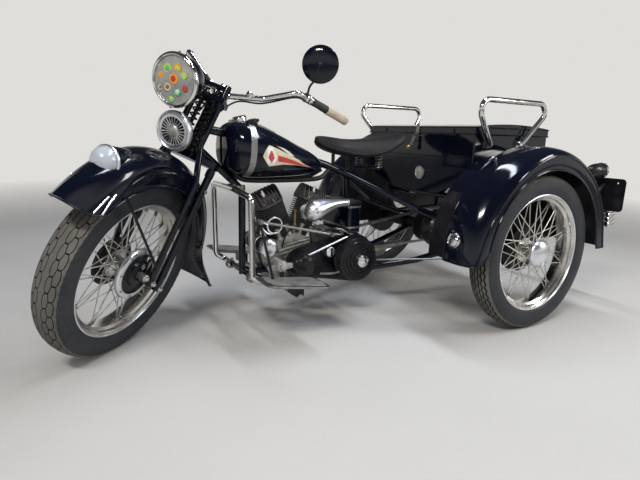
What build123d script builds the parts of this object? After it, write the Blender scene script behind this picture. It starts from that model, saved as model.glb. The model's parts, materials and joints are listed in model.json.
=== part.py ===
from build123d import *
import os
from math import asin, cos, pi, radians, sin, sqrt, tan

# Utility motorcycle trike, in millimetres: +X forward, +Y left, +Z up.
# It is laid out from the rear axle's centre over the floor, then moved so that
# the origin is below the middle of the whole machine.

# Driving sizes
wheelbase = 1554
track = 1067
tyre_radius = 327
tyre_width = 106
rim_seat_radius = 238
rim_half_width = 40
spoke_count = 40
spoke_size = 3.2
hub_flange_radius = 50
hub_half_width = 33
flange_half = 4
rim_lip = 3
spoke_lead = 62
axle_radius = 10
shaft_radius = 16
shaft_past_wheel = 48
drum_radius = 95
drum_inner = 70
hub_cap_radius = 57.5
rake = 27.4
steer_offset = 78
left_lock = 43.3
overall_width = 1219
sheet = 3
tube_radius = 14
seat_gap = 0.3
running_gap = 0.3

box_front = 198
box_rear = -270
box_half_width = 355
box_floor = 535
box_top = 797
box_wall = 3
lid_skirt = 35
lid_crown = 14
lid_clear = 0.6

fender_bead_radius = 409
fender_crown_radius = 434
fender_skirt_radius = 346
fender_tail_angle = 181
fender_nose_angle = -6

front_fender_radius = 445
front_fender_center = (31, -15)
front_fender_half_width = 78
front_fender_skirt = 100

fork_leg_side = 98
fork_leg_radius = 13
crown_height = 447
crown_thickness = 24
head_low = 463
head_high = 655
head_radius = 27
stem_radius = 13

crank = (873, 271)
cylinder_lean = 22.5
clutch_radius = 92
clutch_center = (637, 277)

tank_front = 1160
tank_rear = 732
rail_tube_radius = 11.5

# Sizes worked out from the ones above
hub_height = tyre_radius
side_reach = track / 2
rake_turn = radians(rake)
lock_turn = radians(left_lock)
crown_half = 0.26 * tyre_width
tread_profile = [
    # radius, half width
    (tyre_radius, crown_half),
    (tyre_radius - 15, 0.44 * tyre_width),
    (tyre_radius - 52, 0.5 * tyre_width),
]
# A turned front wheel leans over, so it stands on its shoulder. Its axle
# height makes that shoulder meet the floor at the left stop.
lean = sin(rake_turn) * sin(lock_turn)
lowest = max(r * sqrt(1 - lean**2) + w * lean for r, w in tread_profile)
front_hub_height = lowest + steer_offset * sin(rake_turn) * (1 - cos(lock_turn))
front_center = Vector(wheelbase, 0, front_hub_height)
fork_up = Vector(-sin(rake_turn), 0, cos(rake_turn))
fork_ahead = Vector(cos(rake_turn), 0, sin(rake_turn))
fork_root = front_center - fork_ahead * steer_offset
steering = Axis(fork_root, fork_up)
fork = Plane(origin=fork_root, x_dir=fork_ahead, z_dir=fork_up)
front_reach = wheelbase + 254
rear_reach = 616
middle = (front_reach - rear_reach) / 2

os.makedirs("parts", exist_ok=True)


def on_fork(ahead, side, up):
    """The place of a point given along the steering axis, as it stands with the wheel straight."""
    return fork.from_local_coords(Vector(ahead, side, up))


def rod(start, end, radius, mode=Mode.ADD):
    """A straight round bar or bore from start to end."""
    start, end = Vector(*start), Vector(*end)
    with BuildSketch(Plane(origin=start, z_dir=end - start)) as section:
        Circle(radius)
    extrude(section.sketch, amount=(end - start).length, mode=mode)


def bent_tube(points, radius, bend):
    """Add a round tube along the points, with its corners bent to one radius."""
    points = [Vector(*point) for point in points]
    start = points[0]
    for before, corner, after in zip(points, points[1:], points[2:]):
        coming = (corner - before).normalized()
        going = (after - corner).normalized()
        turn = coming.get_angle(going)
        set_back = bend * tan(radians(turn) / 2)
        bend_start = corner - coming * set_back
        inward = (going - coming * coming.dot(going)).normalized()
        rod(start, bend_start, radius)
        with BuildSketch(Plane(origin=bend_start, z_dir=coming)) as section:
            Circle(radius)
        revolve(section.sketch, axis=Axis(bend_start + inward * bend, coming.cross(going)), revolution_arc=turn)
        start = corner + going * set_back
    rod(start, points[-1], radius)


def finish(piece, name, turned=False):
    """Place a piece in the machine's own frame, turn it with the steering if it rides there, and write it."""
    if turned:
        piece.part = piece.part.rotate(steering, left_lock)
    piece.part = piece.part.moved(Location((-middle, 0, 0)))
    piece.part.label = name
    export_step(piece.part, f"parts/{name}.step")


def wheel_plane(center):
    """Radius runs along the plane's x and width along its y."""
    return Plane(origin=center, x_dir=(1, 0, 0), z_dir=(0, 0, 1))


def turn_profile(center, profile):
    """Revolve a closed outline of (radius, width) points about a wheel's axle."""
    with BuildSketch(wheel_plane(center)) as section:
        with BuildLine():
            Polyline(*profile, close=True)
        make_face()
    revolve(section.sketch, axis=Axis(center, (0, 1, 0)))


def mirrored(profile):
    """A closed outline from its right half, listed from the inside out."""
    return profile + [(r, -w) for r, w in reversed(profile)]


def tyre_shape(center):
    bead = (rim_seat_radius, 0.32 * tyre_width)
    turn_profile(center, mirrored([bead] + tread_profile[::-1]))


def spokes(center):
    """Crossed wire spokes between two hub flanges and the rim, half of them leading and half trailing."""
    per_flange = spoke_count // 2
    step = 360 / per_flange
    for side in (1, -1):
        for i in range(per_flange):
            lead = 1 if i % 2 else -1
            hub_angle = radians(i * step + (step / 2 if side > 0 else 0))
            rim_angle = hub_angle + radians(spoke_lead * lead)
            hub_r, rim_r = hub_flange_radius - 6, rim_seat_radius - 15
            start = Vector(hub_r * cos(hub_angle), side * hub_half_width + lead * 3, hub_r * sin(hub_angle))
            end = Vector(rim_r * cos(rim_angle), side * 8, rim_r * sin(rim_angle))
            with BuildSketch(Plane(origin=center + start, z_dir=end - start)) as section:
                Rectangle(spoke_size, spoke_size)
            extrude(section.sketch, amount=(end - start).length)


def rim(center):
    seat = rim_seat_radius - running_gap
    well = (seat - 19, rim_half_width / 2)
    turn_profile(center, mirrored([well, (seat + rim_lip, rim_half_width), (seat, rim_half_width - 4)]))


# Front wheel
brake_inner = 50
brake_radius = 92
with BuildPart() as front_tyre:
    tyre_shape(front_center)

with BuildPart() as front_wheel:
    rim(front_center)
    bore = axle_radius + running_gap
    flange_out, flange_in = hub_half_width + flange_half, hub_half_width - flange_half
    hub_end = brake_inner - 3
    turn_profile(
        front_center,
        mirrored([(bore, hub_end), (24, hub_end), (24, flange_out), (hub_flange_radius, flange_out),
                  (hub_flange_radius, flange_in), (28, flange_in)]),
    )
    spokes(front_center)

# Rear wheels, each with its brake drum on the inboard side and a domed cap over the shaft's end
rear_tyres = {}
rear_wheels = {}
for name, side in (("left", 1), ("right", -1)):
    center = Vector(0, side * side_reach, hub_height)
    with BuildPart() as tyre:
        tyre_shape(center)
    rear_tyres[name] = tyre
    with BuildPart() as wheel:
        rim(center)
        bore = shaft_radius + running_gap
        cap_inside = shaft_past_wheel + running_gap
        outline = [
            # radius, width outward from the wheel's middle
            (bore, -drum_inner), (drum_radius, -drum_inner), (drum_radius, -drum_inner + 30),
            (hub_flange_radius, -flange_out), (hub_flange_radius, -flange_in), (30, -flange_in),
            (30, flange_in), (hub_flange_radius, flange_in), (hub_flange_radius, flange_out),
            (hub_cap_radius, flange_out + 4), (hub_cap_radius, flange_out + 7),
            (0.94 * hub_cap_radius, cap_inside + 2), (0.78 * hub_cap_radius, cap_inside + 9),
            (0.56 * hub_cap_radius, cap_inside + 15), (0.28 * hub_cap_radius, cap_inside + 18),
            (0, cap_inside + 19), (0, cap_inside), (bore, cap_inside),
        ]
        turn_profile(center, [(r, side * w) for r, w in outline])
        spokes(center)
    rear_wheels[name] = wheel

# Front axle with the two rockers that carry it, and the pins the fork's legs turn on
rocker_pivot = (-20, -30)
spring_pivot = (38, -14)
rocker_outer = fork_leg_side - fork_leg_radius - seat_gap
rocker_thick = 9
rocker_end_radius = 14
pin_radius = 7
pin_end = 112
with BuildPart() as front_axle:
    axle_end = Vector(0, fork_leg_side, 0)
    rod(front_center - axle_end, front_center + axle_end, axle_radius)
    for side in (-1, 1):
        rocker_plane = Plane(
            origin=on_fork(0, side * rocker_outer, 0),
            x_dir=fork_ahead,
            z_dir=(0, side, 0),
        )
        up = -side
        with BuildSketch(rocker_plane):
            for ahead, height in ((steer_offset, 0), spring_pivot, rocker_pivot):
                with Locations((ahead, up * height)):
                    Circle(rocker_end_radius)
            make_hull()
        extrude(amount=-rocker_thick)
        for ahead, height in (spring_pivot, rocker_pivot):
            inner, outer = on_fork(ahead, side * (rocker_outer - 1), height), on_fork(ahead, side * pin_end, height)
            rod(inner, outer, pin_radius)

with BuildPart() as brake_plate:
    bore = axle_radius + running_gap
    turn_profile(
        front_center,
        [(bore, brake_inner), (brake_radius, brake_inner), (brake_radius, brake_inner + 12),
         (60, brake_inner + 22), (bore, brake_inner + 22)],
    )

# Rigid fork: two legs, the lower crown, the stem and the upper crown
upper_crown_thickness = 18
spring_leg_radius = 11
spring_leg_top = (52, 54)
with BuildPart() as fork_rigid:
    for side in (-1, 1):
        leg_foot = on_fork(-20, side * fork_leg_side, -42)
        rod(leg_foot, on_fork(-14, side * fork_leg_side, crown_height), fork_leg_radius)
    with BuildSketch(fork.offset(crown_height - crown_thickness / 2)):
        with BuildLine():
            Polyline((-28, 111), (-28, -111), (0, -111), (28, -60), (62, -40), (62, 40), (28, 60), (0, 111), close=True)
        make_face()
    extrude(amount=crown_thickness)
    rod(on_fork(0, 0, crown_height), on_fork(0, 0, head_high + 26), stem_radius)
    with BuildSketch(fork.offset(head_high + seat_gap)):
        with BuildLine():
            Polyline((-26, 42), (-26, -42), (66, -70), (66, 70), close=True)
        make_face()
    extrude(amount=upper_crown_thickness)
    for side in (-1, 1):
        hole = on_fork(rocker_pivot[0], side * fork_leg_side, rocker_pivot[1])
        with Locations(Location(hole, (90, 0, 0))):
            Cylinder(pin_radius + running_gap, 4 * fork_leg_radius, mode=Mode.SUBTRACT)
        top_hole = on_fork(spring_leg_top[0], side * spring_leg_top[1], head_high + upper_crown_thickness / 2)
        with Locations(Plane(origin=top_hole, x_dir=fork_ahead, z_dir=fork_up)):
            Cylinder(spring_leg_radius + running_gap, 2 * upper_crown_thickness, mode=Mode.SUBTRACT)

# Spring fork: two legs that carry the rockers and the bridge over the springs
bridge_height = 700
with BuildPart() as fork_spring:
    for side in (-1, 1):
        bent_tube(
            [on_fork(38, side * fork_leg_side, -26), on_fork(46, side * fork_leg_side, 360),
             on_fork(spring_leg_top[0], side * spring_leg_top[1], 490),
             on_fork(spring_leg_top[0], side * spring_leg_top[1], bridge_height + 22)],
            spring_leg_radius,
            40,
        )
        hole = on_fork(spring_pivot[0], side * fork_leg_side, spring_pivot[1])
        with Locations(Location(hole, (90, 0, 0))):
            Cylinder(pin_radius + running_gap, 4 * fork_leg_radius, mode=Mode.SUBTRACT)
    with BuildSketch(fork.offset(bridge_height)):
        with Locations((spring_leg_top[0], 0)):
            SlotCenterToCenter(2 * spring_leg_top[1], 26, rotation=90)
    extrude(amount=14)

# Main fork springs between the crowns, each a stack of turns
spring_place = (44, 26)
spring_turns = 5
spring_low = crown_height + crown_thickness / 2 + seat_gap
spring_high = head_high - seat_gap
with BuildPart() as fork_springs:
    pitch = (spring_high - spring_low) / spring_turns
    outline = [(6, spring_low)]
    for i in range(spring_turns):
        turn_low = spring_low + pitch * i
        outline += [(11, turn_low), (11, turn_low + pitch / 2), (17, turn_low + pitch / 2), (17, turn_low + pitch)]
    outline += [(6, spring_high)]
    for side in (-1, 1):
        foot = on_fork(spring_place[0], side * spring_place[1], 0)
        with BuildSketch(Plane(origin=foot, x_dir=fork_ahead, z_dir=(0, -1, 0))) as section:
            with BuildLine():
                Polyline(*outline, close=True)
            make_face()
        revolve(section.sketch, axis=Axis(foot, fork_up))

# Front fender: a crowned arch with side skirts, and a tail that flares behind the wheel
fender_axle = front_center + Vector(front_fender_center[0], 0, front_fender_center[1])


def arch_plane(axle, angle):
    """A plane through a wheel arch's axle: x runs outward at the angle above straight ahead, y runs left."""
    turn = radians(angle)
    return Plane(origin=axle, x_dir=(cos(turn), 0, sin(turn)), z_dir=(-sin(turn), 0, cos(turn)))


def shell(half, wall):
    """A closed outline of a bent sheet from the outer half of its section, listed from the edge to the middle."""
    inner = [(r - wall, max(w - wall, 0)) for r, w in half]
    inner[0] = (half[0][0], half[0][1] - wall)
    outside = half + [(r, -w) for r, w in reversed(half)]
    inside = inner + [(r, -w) for r, w in reversed(inner)]
    return outside + inside[::-1]


crest = front_fender_radius
flank = front_fender_half_width
front_angle, back_angle, tail_angle = 52, 187, 203
with BuildPart() as front_fender:
    arch = [
        # radius, half width
        (crest - front_fender_skirt, flank), (crest - 50, flank), (crest - 19, 0.74 * flank), (crest, 0.24 * flank),
    ]
    tail = [(crest + 20, 134), (crest + 52, 130), (crest + 74, 96), (crest + 84, 30)]
    with BuildSketch(arch_plane(fender_axle, back_angle)) as section:
        with BuildLine():
            Polyline(*shell(arch, sheet), close=True)
        make_face()
    revolve(section.sketch, axis=Axis(fender_axle, (0, 1, 0)), revolution_arc=back_angle - front_angle)
    with BuildSketch(arch_plane(fender_axle, tail_angle)) as tail_section:
        with BuildLine():
            Polyline(*shell(tail, sheet), close=True)
        make_face()
    loft([section.sketch.face(), tail_section.sketch.face()], ruled=True)
    # Spacers that the rigid fork's legs hold the fender by
    leg_skin = fork_leg_side - fork_leg_radius - seat_gap
    for side in (-1, 1):
        rod(on_fork(-15, side * (flank - 1), 352), on_fork(-15, side * leg_skin, 352), 12)

with BuildPart() as fender_lamp:
    nose, top = wheelbase + 168, front_hub_height + 441
    with BuildSketch(Plane.XZ) as section:
        with BuildLine():
            Polyline((nose - 150, top), (nose - 90, top + 22), (nose, top + 33), (nose + 18, top + 28),
                     (nose + 30, top + 14), (nose + 33, top), close=True)
        make_face()
    revolve(section.sketch, axis=Axis((0, 0, top), (1, 0, 0)))
    with Locations(Location(fender_axle, (90, 0, 0))):
        Cylinder(crest + seat_gap, 2 * flank, mode=Mode.SUBTRACT)

# Headlamp bowl, open in front, with its bracket, and the horn below it
lamp_face = (1440, 0, 963)
lamp_radius = 103
with BuildPart() as headlamp:
    with BuildSketch(Plane.XZ) as section:
        with BuildLine():
            x, z = lamp_face[0], lamp_face[2]
            Polyline((x - 165, z), (x - 160, z + 30), (x - 138, z + 60), (x - 95, z + 82), (x - 22, z + 95),
                     (x - 22, z + lamp_radius), (x, z + lamp_radius), (x, z + lamp_radius - 12),
                     (x - 8, z + lamp_radius - 12), (x - 4, z), close=True)
        make_face()
    revolve(section.sketch, axis=Axis(lamp_face, (1, 0, 0)))
    bracket_height = head_high + upper_crown_thickness / 2
    rod(on_fork(66 + seat_gap, 0, bracket_height), on_fork(130, 0, bracket_height), 8.5)

horn_face = (1402, 0, 796)
horn_bar_count = 24
with BuildPart() as horn:
    with BuildSketch(Plane.XZ) as section:
        with BuildLine():
            x, z = horn_face[0], horn_face[2]
            Polyline((x, z), (x, z + 18), (x - 8, z + 26), (x - 8, z + 52), (x, z + 58), (x, z + 67),
                     (x - 22, z + 67), (x - 40, z + 48), (x - 40, z + 30), (x - 75, z + 30), (x - 75, z), close=True)
        make_face()
    revolve(section.sketch, axis=Axis(horn_face, (1, 0, 0)))
    # Radial bars over the ring-shaped recess between the centre disc and the rim
    with BuildSketch(Plane(origin=(x - 9, 0, z), x_dir=(0, 1, 0), z_dir=(1, 0, 0))) as bars:
        with PolarLocations(38, horn_bar_count):
            Rectangle(42, 2)
    extrude(bars.sketch, amount=6)
    rod((x - 60, 0, z), on_fork(84, 0, crown_height), 8)
    rod(on_fork(62 + seat_gap, 0, crown_height), on_fork(92, 0, crown_height), 8)

# Handlebar on two risers, with its grips and one mirror
bar_radius = 11
grip_end = (800, 380, 918)
bar_rise = (1035, 245, 995)
bar_dip = (1066, 130, 934)
bar_middle = (1145, 32, 915)
with BuildPart() as handlebar:
    left_side = [grip_end, bar_rise, bar_dip, bar_middle]
    right_side = [(x, -y, z) for x, y, z in reversed(left_side)]
    bent_tube(left_side + right_side, bar_radius, 30)
    for y in (-22, 22):
        riser_low = head_high + upper_crown_thickness + 2 * seat_gap
        rod(on_fork(-14, y, riser_low), on_fork(-14, y, riser_low + 35), 10)

grip_radius = 17
grip_length = 118
sleeve_length = 84
with BuildPart() as grips:
    for side in (-1, 1):
        end = Vector(grip_end[0], side * grip_end[1], grip_end[2])
        along = (Vector(bar_rise[0], side * bar_rise[1], bar_rise[2]) - end).normalized()
        rod(end - along * 6, end + along * grip_length, grip_radius)
        rod(end + along * grip_length, end + along * (grip_length + sleeve_length), grip_radius - 2)
        with BuildSketch(Plane(origin=end - along * 0.3, z_dir=along)) as section:
            Circle(bar_radius + running_gap)
        extrude(section.sketch, amount=grip_length + sleeve_length + 1, mode=Mode.SUBTRACT)

with BuildPart() as mirror:
    mirror_center = Vector(985, 280, 1111)
    mirror_way = Vector(0.96, 0.26, 0.08).normalized()
    mirror_radius = 68
    disc = Plane(origin=mirror_center, z_dir=mirror_way)
    with BuildSketch(disc.offset(-9)):
        Circle(mirror_radius)
    extrude(amount=9)
    with BuildSketch(disc):
        Circle(mirror_radius)
    extrude(amount=8, taper=65)
    bar_end = Vector(*grip_end)
    along = (Vector(*bar_rise) - bar_end).normalized()
    clamp = bar_end + along * 235
    rod(clamp - along * 8, clamp + along * 8, bar_radius + 6)
    rod(clamp + Vector(0, 0, bar_radius), mirror_center + mirror_way * 4, 5)
    rod(clamp - along * 20, clamp + along * 20, bar_radius + seat_gap, mode=Mode.SUBTRACT)

# Roller chains. A band holds the inner plates and rollers, and raised outer plates lie on every second link.
link_height = 11
plate_thickness = 1.6
roller_diameter = 10
roller_length = 7.6


def chain_loop(small, small_radius, large, large_radius, pitch):
    """The middle line of a chain round two wheels, and the even number of links nearest to its length."""
    wheels = ((small, small_radius), (large, large_radius))
    circles = [Edge.make_circle(radius, Plane(origin=(*center, 0))) for center, radius in wheels]
    line = Wire.make_convex_hull(circles)
    return line, 2 * round(line.length / pitch / 2)


def link_places(line, links, every=1):
    """The middle of each link between its two pins, turned along the chain."""
    places = []
    for i in range(0, links, every):
        start, end = line.position_at(i / links), line.position_at((i + 1) % links / links)
        way = end - start
        places.append(Location((start + end) / 2, (0, 0, Vector(1, 0).get_signed_angle(way, Vector(0, 0, 1)))))
    return places


def closing_pitch(small_teeth, large_teeth, distance, pitch):
    """The worn pitch, near the new one, at which an even number of links closes the loop."""
    worn = pitch
    for _ in range(6):
        small, large = small_teeth * worn / (2 * pi), large_teeth * worn / (2 * pi)
        slope = asin((large - small) / distance)
        length = 2 * distance * cos(slope) + pi * (small + large) + 2 * slope * (large - small)
        worn = length / (2 * round(length / pitch / 2))
    return worn


def chain_links(side, small, small_radius, large, large_radius, height, pitch):
    """Add a chain in the upright plane at one side: its band, and the outer plates of every second link."""
    middle = Plane.XZ.offset(-side)
    line, links = chain_loop(small, small_radius, large, large_radius, pitch)
    with BuildSketch(middle) as section:
        for grow, mode in ((height / 2, Mode.ADD), (-height / 2, Mode.SUBTRACT)):
            with BuildSketch(mode=mode):
                for center, radius in ((small, small_radius), (large, large_radius)):
                    with Locations(center):
                        Circle(radius + grow)
                make_hull()
    extrude(section.sketch, amount=chain_width / 2 - plate_thickness, both=True)
    with BuildSketch(middle) as section:
        with Locations(*link_places(line, links, every=2)):
            Rectangle(pitch + 0.8 * height, 0.86 * height)
    extrude(section.sketch, amount=chain_width / 2, both=True)


def sprocket(center, teeth, pitch, first_angle):
    """Add the outline of a toothed wheel whose teeth reach between the chain's rollers."""
    pitch_radius = teeth * pitch / (2 * pi)
    root = pitch_radius - link_height / 2 - seat_gap
    with Locations(center):
        Circle(root)
        with PolarLocations(0, teeth, start_angle=first_angle):
            Polygon((root - 1, -2.3), (pitch_radius - 1, -1), (pitch_radius - 1, 1), (root - 1, 2.3), align=None)


# Final drive: the sprockets, and the chain's line from the gearbox to the axle
output_shaft = (640, 277)
drive_pitch = 15.875
axle_teeth, output_teeth = 33, 17
shaft_distance = sqrt(output_shaft[0] ** 2 + (hub_height - output_shaft[1]) ** 2)
worn_pitch = closing_pitch(output_teeth, axle_teeth, shaft_distance, drive_pitch)
axle_pitch_radius = axle_teeth * worn_pitch / (2 * pi)
output_pitch_radius = output_teeth * worn_pitch / (2 * pi)
drive_line, drive_links = chain_loop(
    output_shaft, output_pitch_radius, (0, hub_height), axle_pitch_radius, drive_pitch
)


def tooth_angle(center):
    """The angle of one link that lies wholly on a wheel, as its teeth stand between the pins."""
    center = Vector(*center)
    near = min(link_places(drive_line, drive_links), key=lambda place: (place.position - center).length)
    way = near.position - center
    return Vector(1, 0).get_signed_angle(way, Vector(0, 0, 1))


# Rear axle: tubes, gear housing, brake backing plates, chain sprocket and the shafts that carry the wheels
axle_tube_radius = 32
backing_gap = 5
backing_thickness = 5
axle_center = Vector(0, 0, hub_height)
chain_line = -110
chain_width = 14
sprocket_half = 3
with BuildPart() as rear_axle:
    tube_end = side_reach - drum_inner - backing_gap
    turn_profile(
        axle_center,
        mirrored([(0, side_reach + shaft_past_wheel), (shaft_radius, side_reach + shaft_past_wheel),
                  (shaft_radius, tube_end), (drum_radius + 3, tube_end),
                  (drum_radius + 3, tube_end - backing_thickness), (axle_tube_radius, tube_end - backing_thickness),
                  (axle_tube_radius, 95), (70, 60), (95, 25)]),
    )
    with BuildSketch(Plane.XZ.offset(-chain_line - sprocket_half)) as section:
        sprocket((0, hub_height), axle_teeth, worn_pitch, tooth_angle((0, hub_height)))
    extrude(section.sketch, amount=2 * sprocket_half)

# Frame: head, down tube, backbone, seat tube, engine cradle and the rails that carry the box and the axle
backbone_radius = 16
down_x = 1076
down_top = on_fork(0, 0, 492)
cradle_side = 85
cradle_height = 200
rail_side = 225
saddle_tube = [(690, 0, 652), (560, 0, 600)]
box_rail_height = box_floor - tube_radius - seat_gap
box_rail_places = (140, -190)
bumper_tube_radius = 12.5
bumper_x = -590
rail_end = bumper_x + bumper_tube_radius + 20
cross_radius = tube_radius - 2
cross_height = 236
cross_half = 120
with BuildPart() as frame:
    rod(on_fork(0, 0, head_low), on_fork(0, 0, head_high), head_radius)
    bent_tube([on_fork(0, 0, 560), (1040, 0, 755), *saddle_tube], backbone_radius, 80)
    bent_tube([down_top, (down_x, 0, 560), (down_x, 0, cross_height - tube_radius)], tube_radius, 60)
    rod((588, 0, 596), (576, 0, 214), tube_radius)
    rod((down_x, -cross_half, cross_height), (down_x, cross_half, cross_height), cross_radius)
    rod((576, -cradle_side, 214), (576, cradle_side, 214), cross_radius)
    for side in (-1, 1):
        bent_tube(
            [(down_x, side * 60, cross_height), (1000, side * cradle_side, cradle_height),
             (540, side * cradle_side, cradle_height), (300, side * 170, 235), (10, side * rail_side, 300)],
            tube_radius,
            60,
        )
        bent_tube(
            [(640, 0, 636), (325, side * 195, 470), (90, side * rail_side, 392),
             (-230, side * rail_side, 402), (-420, side * rail_side, 435),
             (rail_end + seat_gap, side * rail_side, 435)],
            tube_radius,
            60,
        )
        for x in box_rail_places:
            rod((x, side * rail_side, 400), (x, side * rail_side, box_rail_height), cross_radius)
        with Locations((0, side * rail_side, hub_height + 12)):
            Box(86, 26, 106)
        with Locations(Location((0, side * rail_side, hub_height), (90, 0, 0))):
            Cylinder(axle_tube_radius + seat_gap, 60, mode=Mode.SUBTRACT)
    for x in box_rail_places:
        rod((x, -rail_side - 14, box_rail_height), (x, rail_side + 14, box_rail_height), tube_radius)
    with BuildSketch(fork.offset(head_low - 40)):
        Circle(stem_radius + running_gap)
    extrude(amount=head_high - head_low + 80, mode=Mode.SUBTRACT)

# Fuel tanks: one half on each side of the backbone
with BuildPart() as fuel_tanks:
    tank_sections = [
        # x, lowest, highest, half width
        (tank_front, 655, 792, 74),
        (1090, 612, 822, 130),
        (930, 610, 774, 128),
        (800, 617, 716, 92),
        (tank_rear, 636, 672, 36),
    ]
    outline = [
        # share of the width, share of the half height
        (0, 1), (0.5, 0.92), (0.86, 0.58), (1, 0), (0.93, -0.5), (0.6, -0.93), (0, -1),
    ]
    for side in (-1, 1):
        faces = []
        for x, low, high, half in tank_sections:
            inner = backbone_radius + seat_gap
            middle_z = (low + high) / 2
            rise = (high - low) / 2
            reach = half - inner
            with BuildSketch(Plane.YZ.offset(x)) as section:
                with BuildLine():
                    Polyline(*[(side * (inner + y * reach), middle_z + z * rise) for y, z in outline], close=True)
                make_face()
            faces.append(section.sketch.face())
        loft(faces, ruled=True)

# Console between the tanks, with the two filler caps
with BuildPart() as tank_console:
    with BuildSketch(Plane.XZ) as section:
        with BuildLine():
            Polyline((1120, 790), (1120, 836), (1030, 838), (940, 808), (940, 770), close=True)
        make_face()
    extrude(section.sketch, amount=22, both=True)
    for y in (-60, 60):
        rod((1060, y, 790), (1066, y, 826), 22)
    add(fuel_tanks.part.moved(Location((0, 0, seat_gap))), mode=Mode.SUBTRACT)

# Saddle: a pan and pad, narrow at its nose
seat_low = 716
seat_under = seat_low - seat_gap
with BuildPart() as saddle:
    with BuildSketch(Plane.XY.offset(seat_low)) as section:
        with BuildLine():
            nose = ThreePointArc((700, 40), (742, 0), (700, -40))
            right = ThreePointArc(nose @ 1, (560, -80), (470, -155))
            back = ThreePointArc(right @ 1, (352, 0), (470, 155))
            ThreePointArc(back @ 1, (560, 80), nose @ 0)
        make_face()
    extrude(section.sketch, amount=54)
    chamfer(saddle.faces().sort_by(Axis.Z)[-1].edges(), 14)

post_x = 580
seat_spring = (470, 75, 640)
with BuildPart() as seat_post:
    x, y, z = seat_spring
    rod((post_x, 0, 600), (post_x, 0, seat_under), 13)
    rod((660, 0, 630), (660, 0, seat_under), 8)
    for side in (-1, 1):
        rod((x, side * y, z), (x, side * y, seat_under), 17)
    rod((x, -y, z), (x, y, z), 8)
    rod((post_x, 0, z), (x, 0, z), 8)
    rod(*saddle_tube, backbone_radius + seat_gap, mode=Mode.SUBTRACT)

# Engine
cylinder_turn = radians(cylinder_lean)
case_half = 60
case_radius = 92
barrel_length, barrel_width = 84, 92
deck_height = 104
generator_place = (1016, 359)
generator_radius = 33


def deck(lean_sign):
    """A plane across one cylinder, square to its axis, at the crankshaft."""
    return Plane(
        origin=(crank[0], 0, crank[1]),
        x_dir=(cos(cylinder_turn), 0, -lean_sign * sin(cylinder_turn)),
        z_dir=(lean_sign * sin(cylinder_turn), 0, cos(cylinder_turn)),
    )


with BuildPart() as crankcase:
    rod((crank[0], -case_half, crank[1]), (crank[0], case_half, crank[1]), case_radius)
    for lean_sign in (-1, 1):
        with BuildSketch(deck(lean_sign).offset(40)):
            Rectangle(barrel_length, 2 * case_half)
        extrude(amount=deck_height - 40)
    rod((crank[0], -case_half, crank[1] + 10), (crank[0], -case_half - 34, crank[1] + 10), 64)
    with Locations((985, 0, 322)):
        Box(70, 70, 24)
    generator_x, generator_z = generator_place
    rod(
        (generator_x, -90, generator_z), (generator_x, 105, generator_z), generator_radius + seat_gap,
        mode=Mode.SUBTRACT,
    )
    with Locations((crank[0], 0, crank[1] - 70)):
        Box(110, 2 * case_half, 50)

fin_count = 8
fin_pitch = 16
fin_first = 118
fin_thickness = 5
fin_width = 122
fin_corner = 26
head_low_at = fin_first + fin_count * fin_pitch + 2
head_thickness = 12
head_core_rise = 46
rib_count = 8
rib_pitch = 15
rib_rise = 65
with BuildPart() as cylinders:
    for lean_sign in (-1, 1):
        seat = deck(lean_sign)
        with BuildSketch(seat.offset(deck_height + seat_gap)):
            Rectangle(barrel_length, barrel_width)
        extrude(amount=head_low_at + head_core_rise - deck_height)
        for i in range(fin_count):
            height = fin_first + i * fin_pitch
            # The lowest fins are narrower, so those of the two cylinders don't meet
            width = min(fin_width, 2 * (height * tan(cylinder_turn) - 3))
            with BuildSketch(seat.offset(height)) as fin:
                Rectangle(width, fin_width)
                fillet(fin.vertices(), fin_corner)
            extrude(amount=fin_thickness)
        with BuildSketch(seat.offset(head_low_at)) as head:
            Rectangle(fin_width, fin_width)
            fillet(head.vertices(), fin_corner)
        extrude(amount=head_thickness)
        # Upright ribs across the head, rounded at their shoulders and kept within the head's round corners
        for i in range(rib_count):
            place = (i - (rib_count - 1) / 2) * rib_pitch
            flat = fin_width / 2 - fin_corner
            past = max(0, abs(place) + fin_thickness / 2 - flat)
            half = flat + sqrt(fin_corner**2 - past**2)
            foot = seat.origin + seat.z_dir * head_low_at + seat.x_dir * (place - fin_thickness / 2)
            with BuildSketch(Plane(origin=foot, x_dir=(0, 1, 0), z_dir=seat.x_dir)) as rib:
                with Locations((0, rib_rise / 2)):
                    Rectangle(2 * half, rib_rise)
                fillet(rib.vertices().group_by(Axis.Y)[-1], fin_corner)
            extrude(amount=fin_thickness)

intake_center = (845, 150, 503)
with BuildPart() as intake:
    with BuildSketch(Plane(origin=intake_center, x_dir=(1, 0, 0), z_dir=(0, -1, 0))) as section:
        with BuildLine():
            Polyline((38, 0), (33, 18), (18, 32), (-6, 37), (-60, 28), (-128, 14), (-128, 0), close=True)
        make_face()
    revolve(section.sketch, axis=Axis(intake_center, (1, 0, 0)))
    rod((800, 120, 470), (800, fin_width / 2 + seat_gap, 470), 18)
    rod((800, 135, 500), (800, 110, 462), 14)

with BuildPart() as generator:
    x, z = generator_place
    rod((x, -90, z), (x, 105, z), generator_radius)
    rod((x, 105, z), (x, 118, z), generator_radius - 5)

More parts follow.
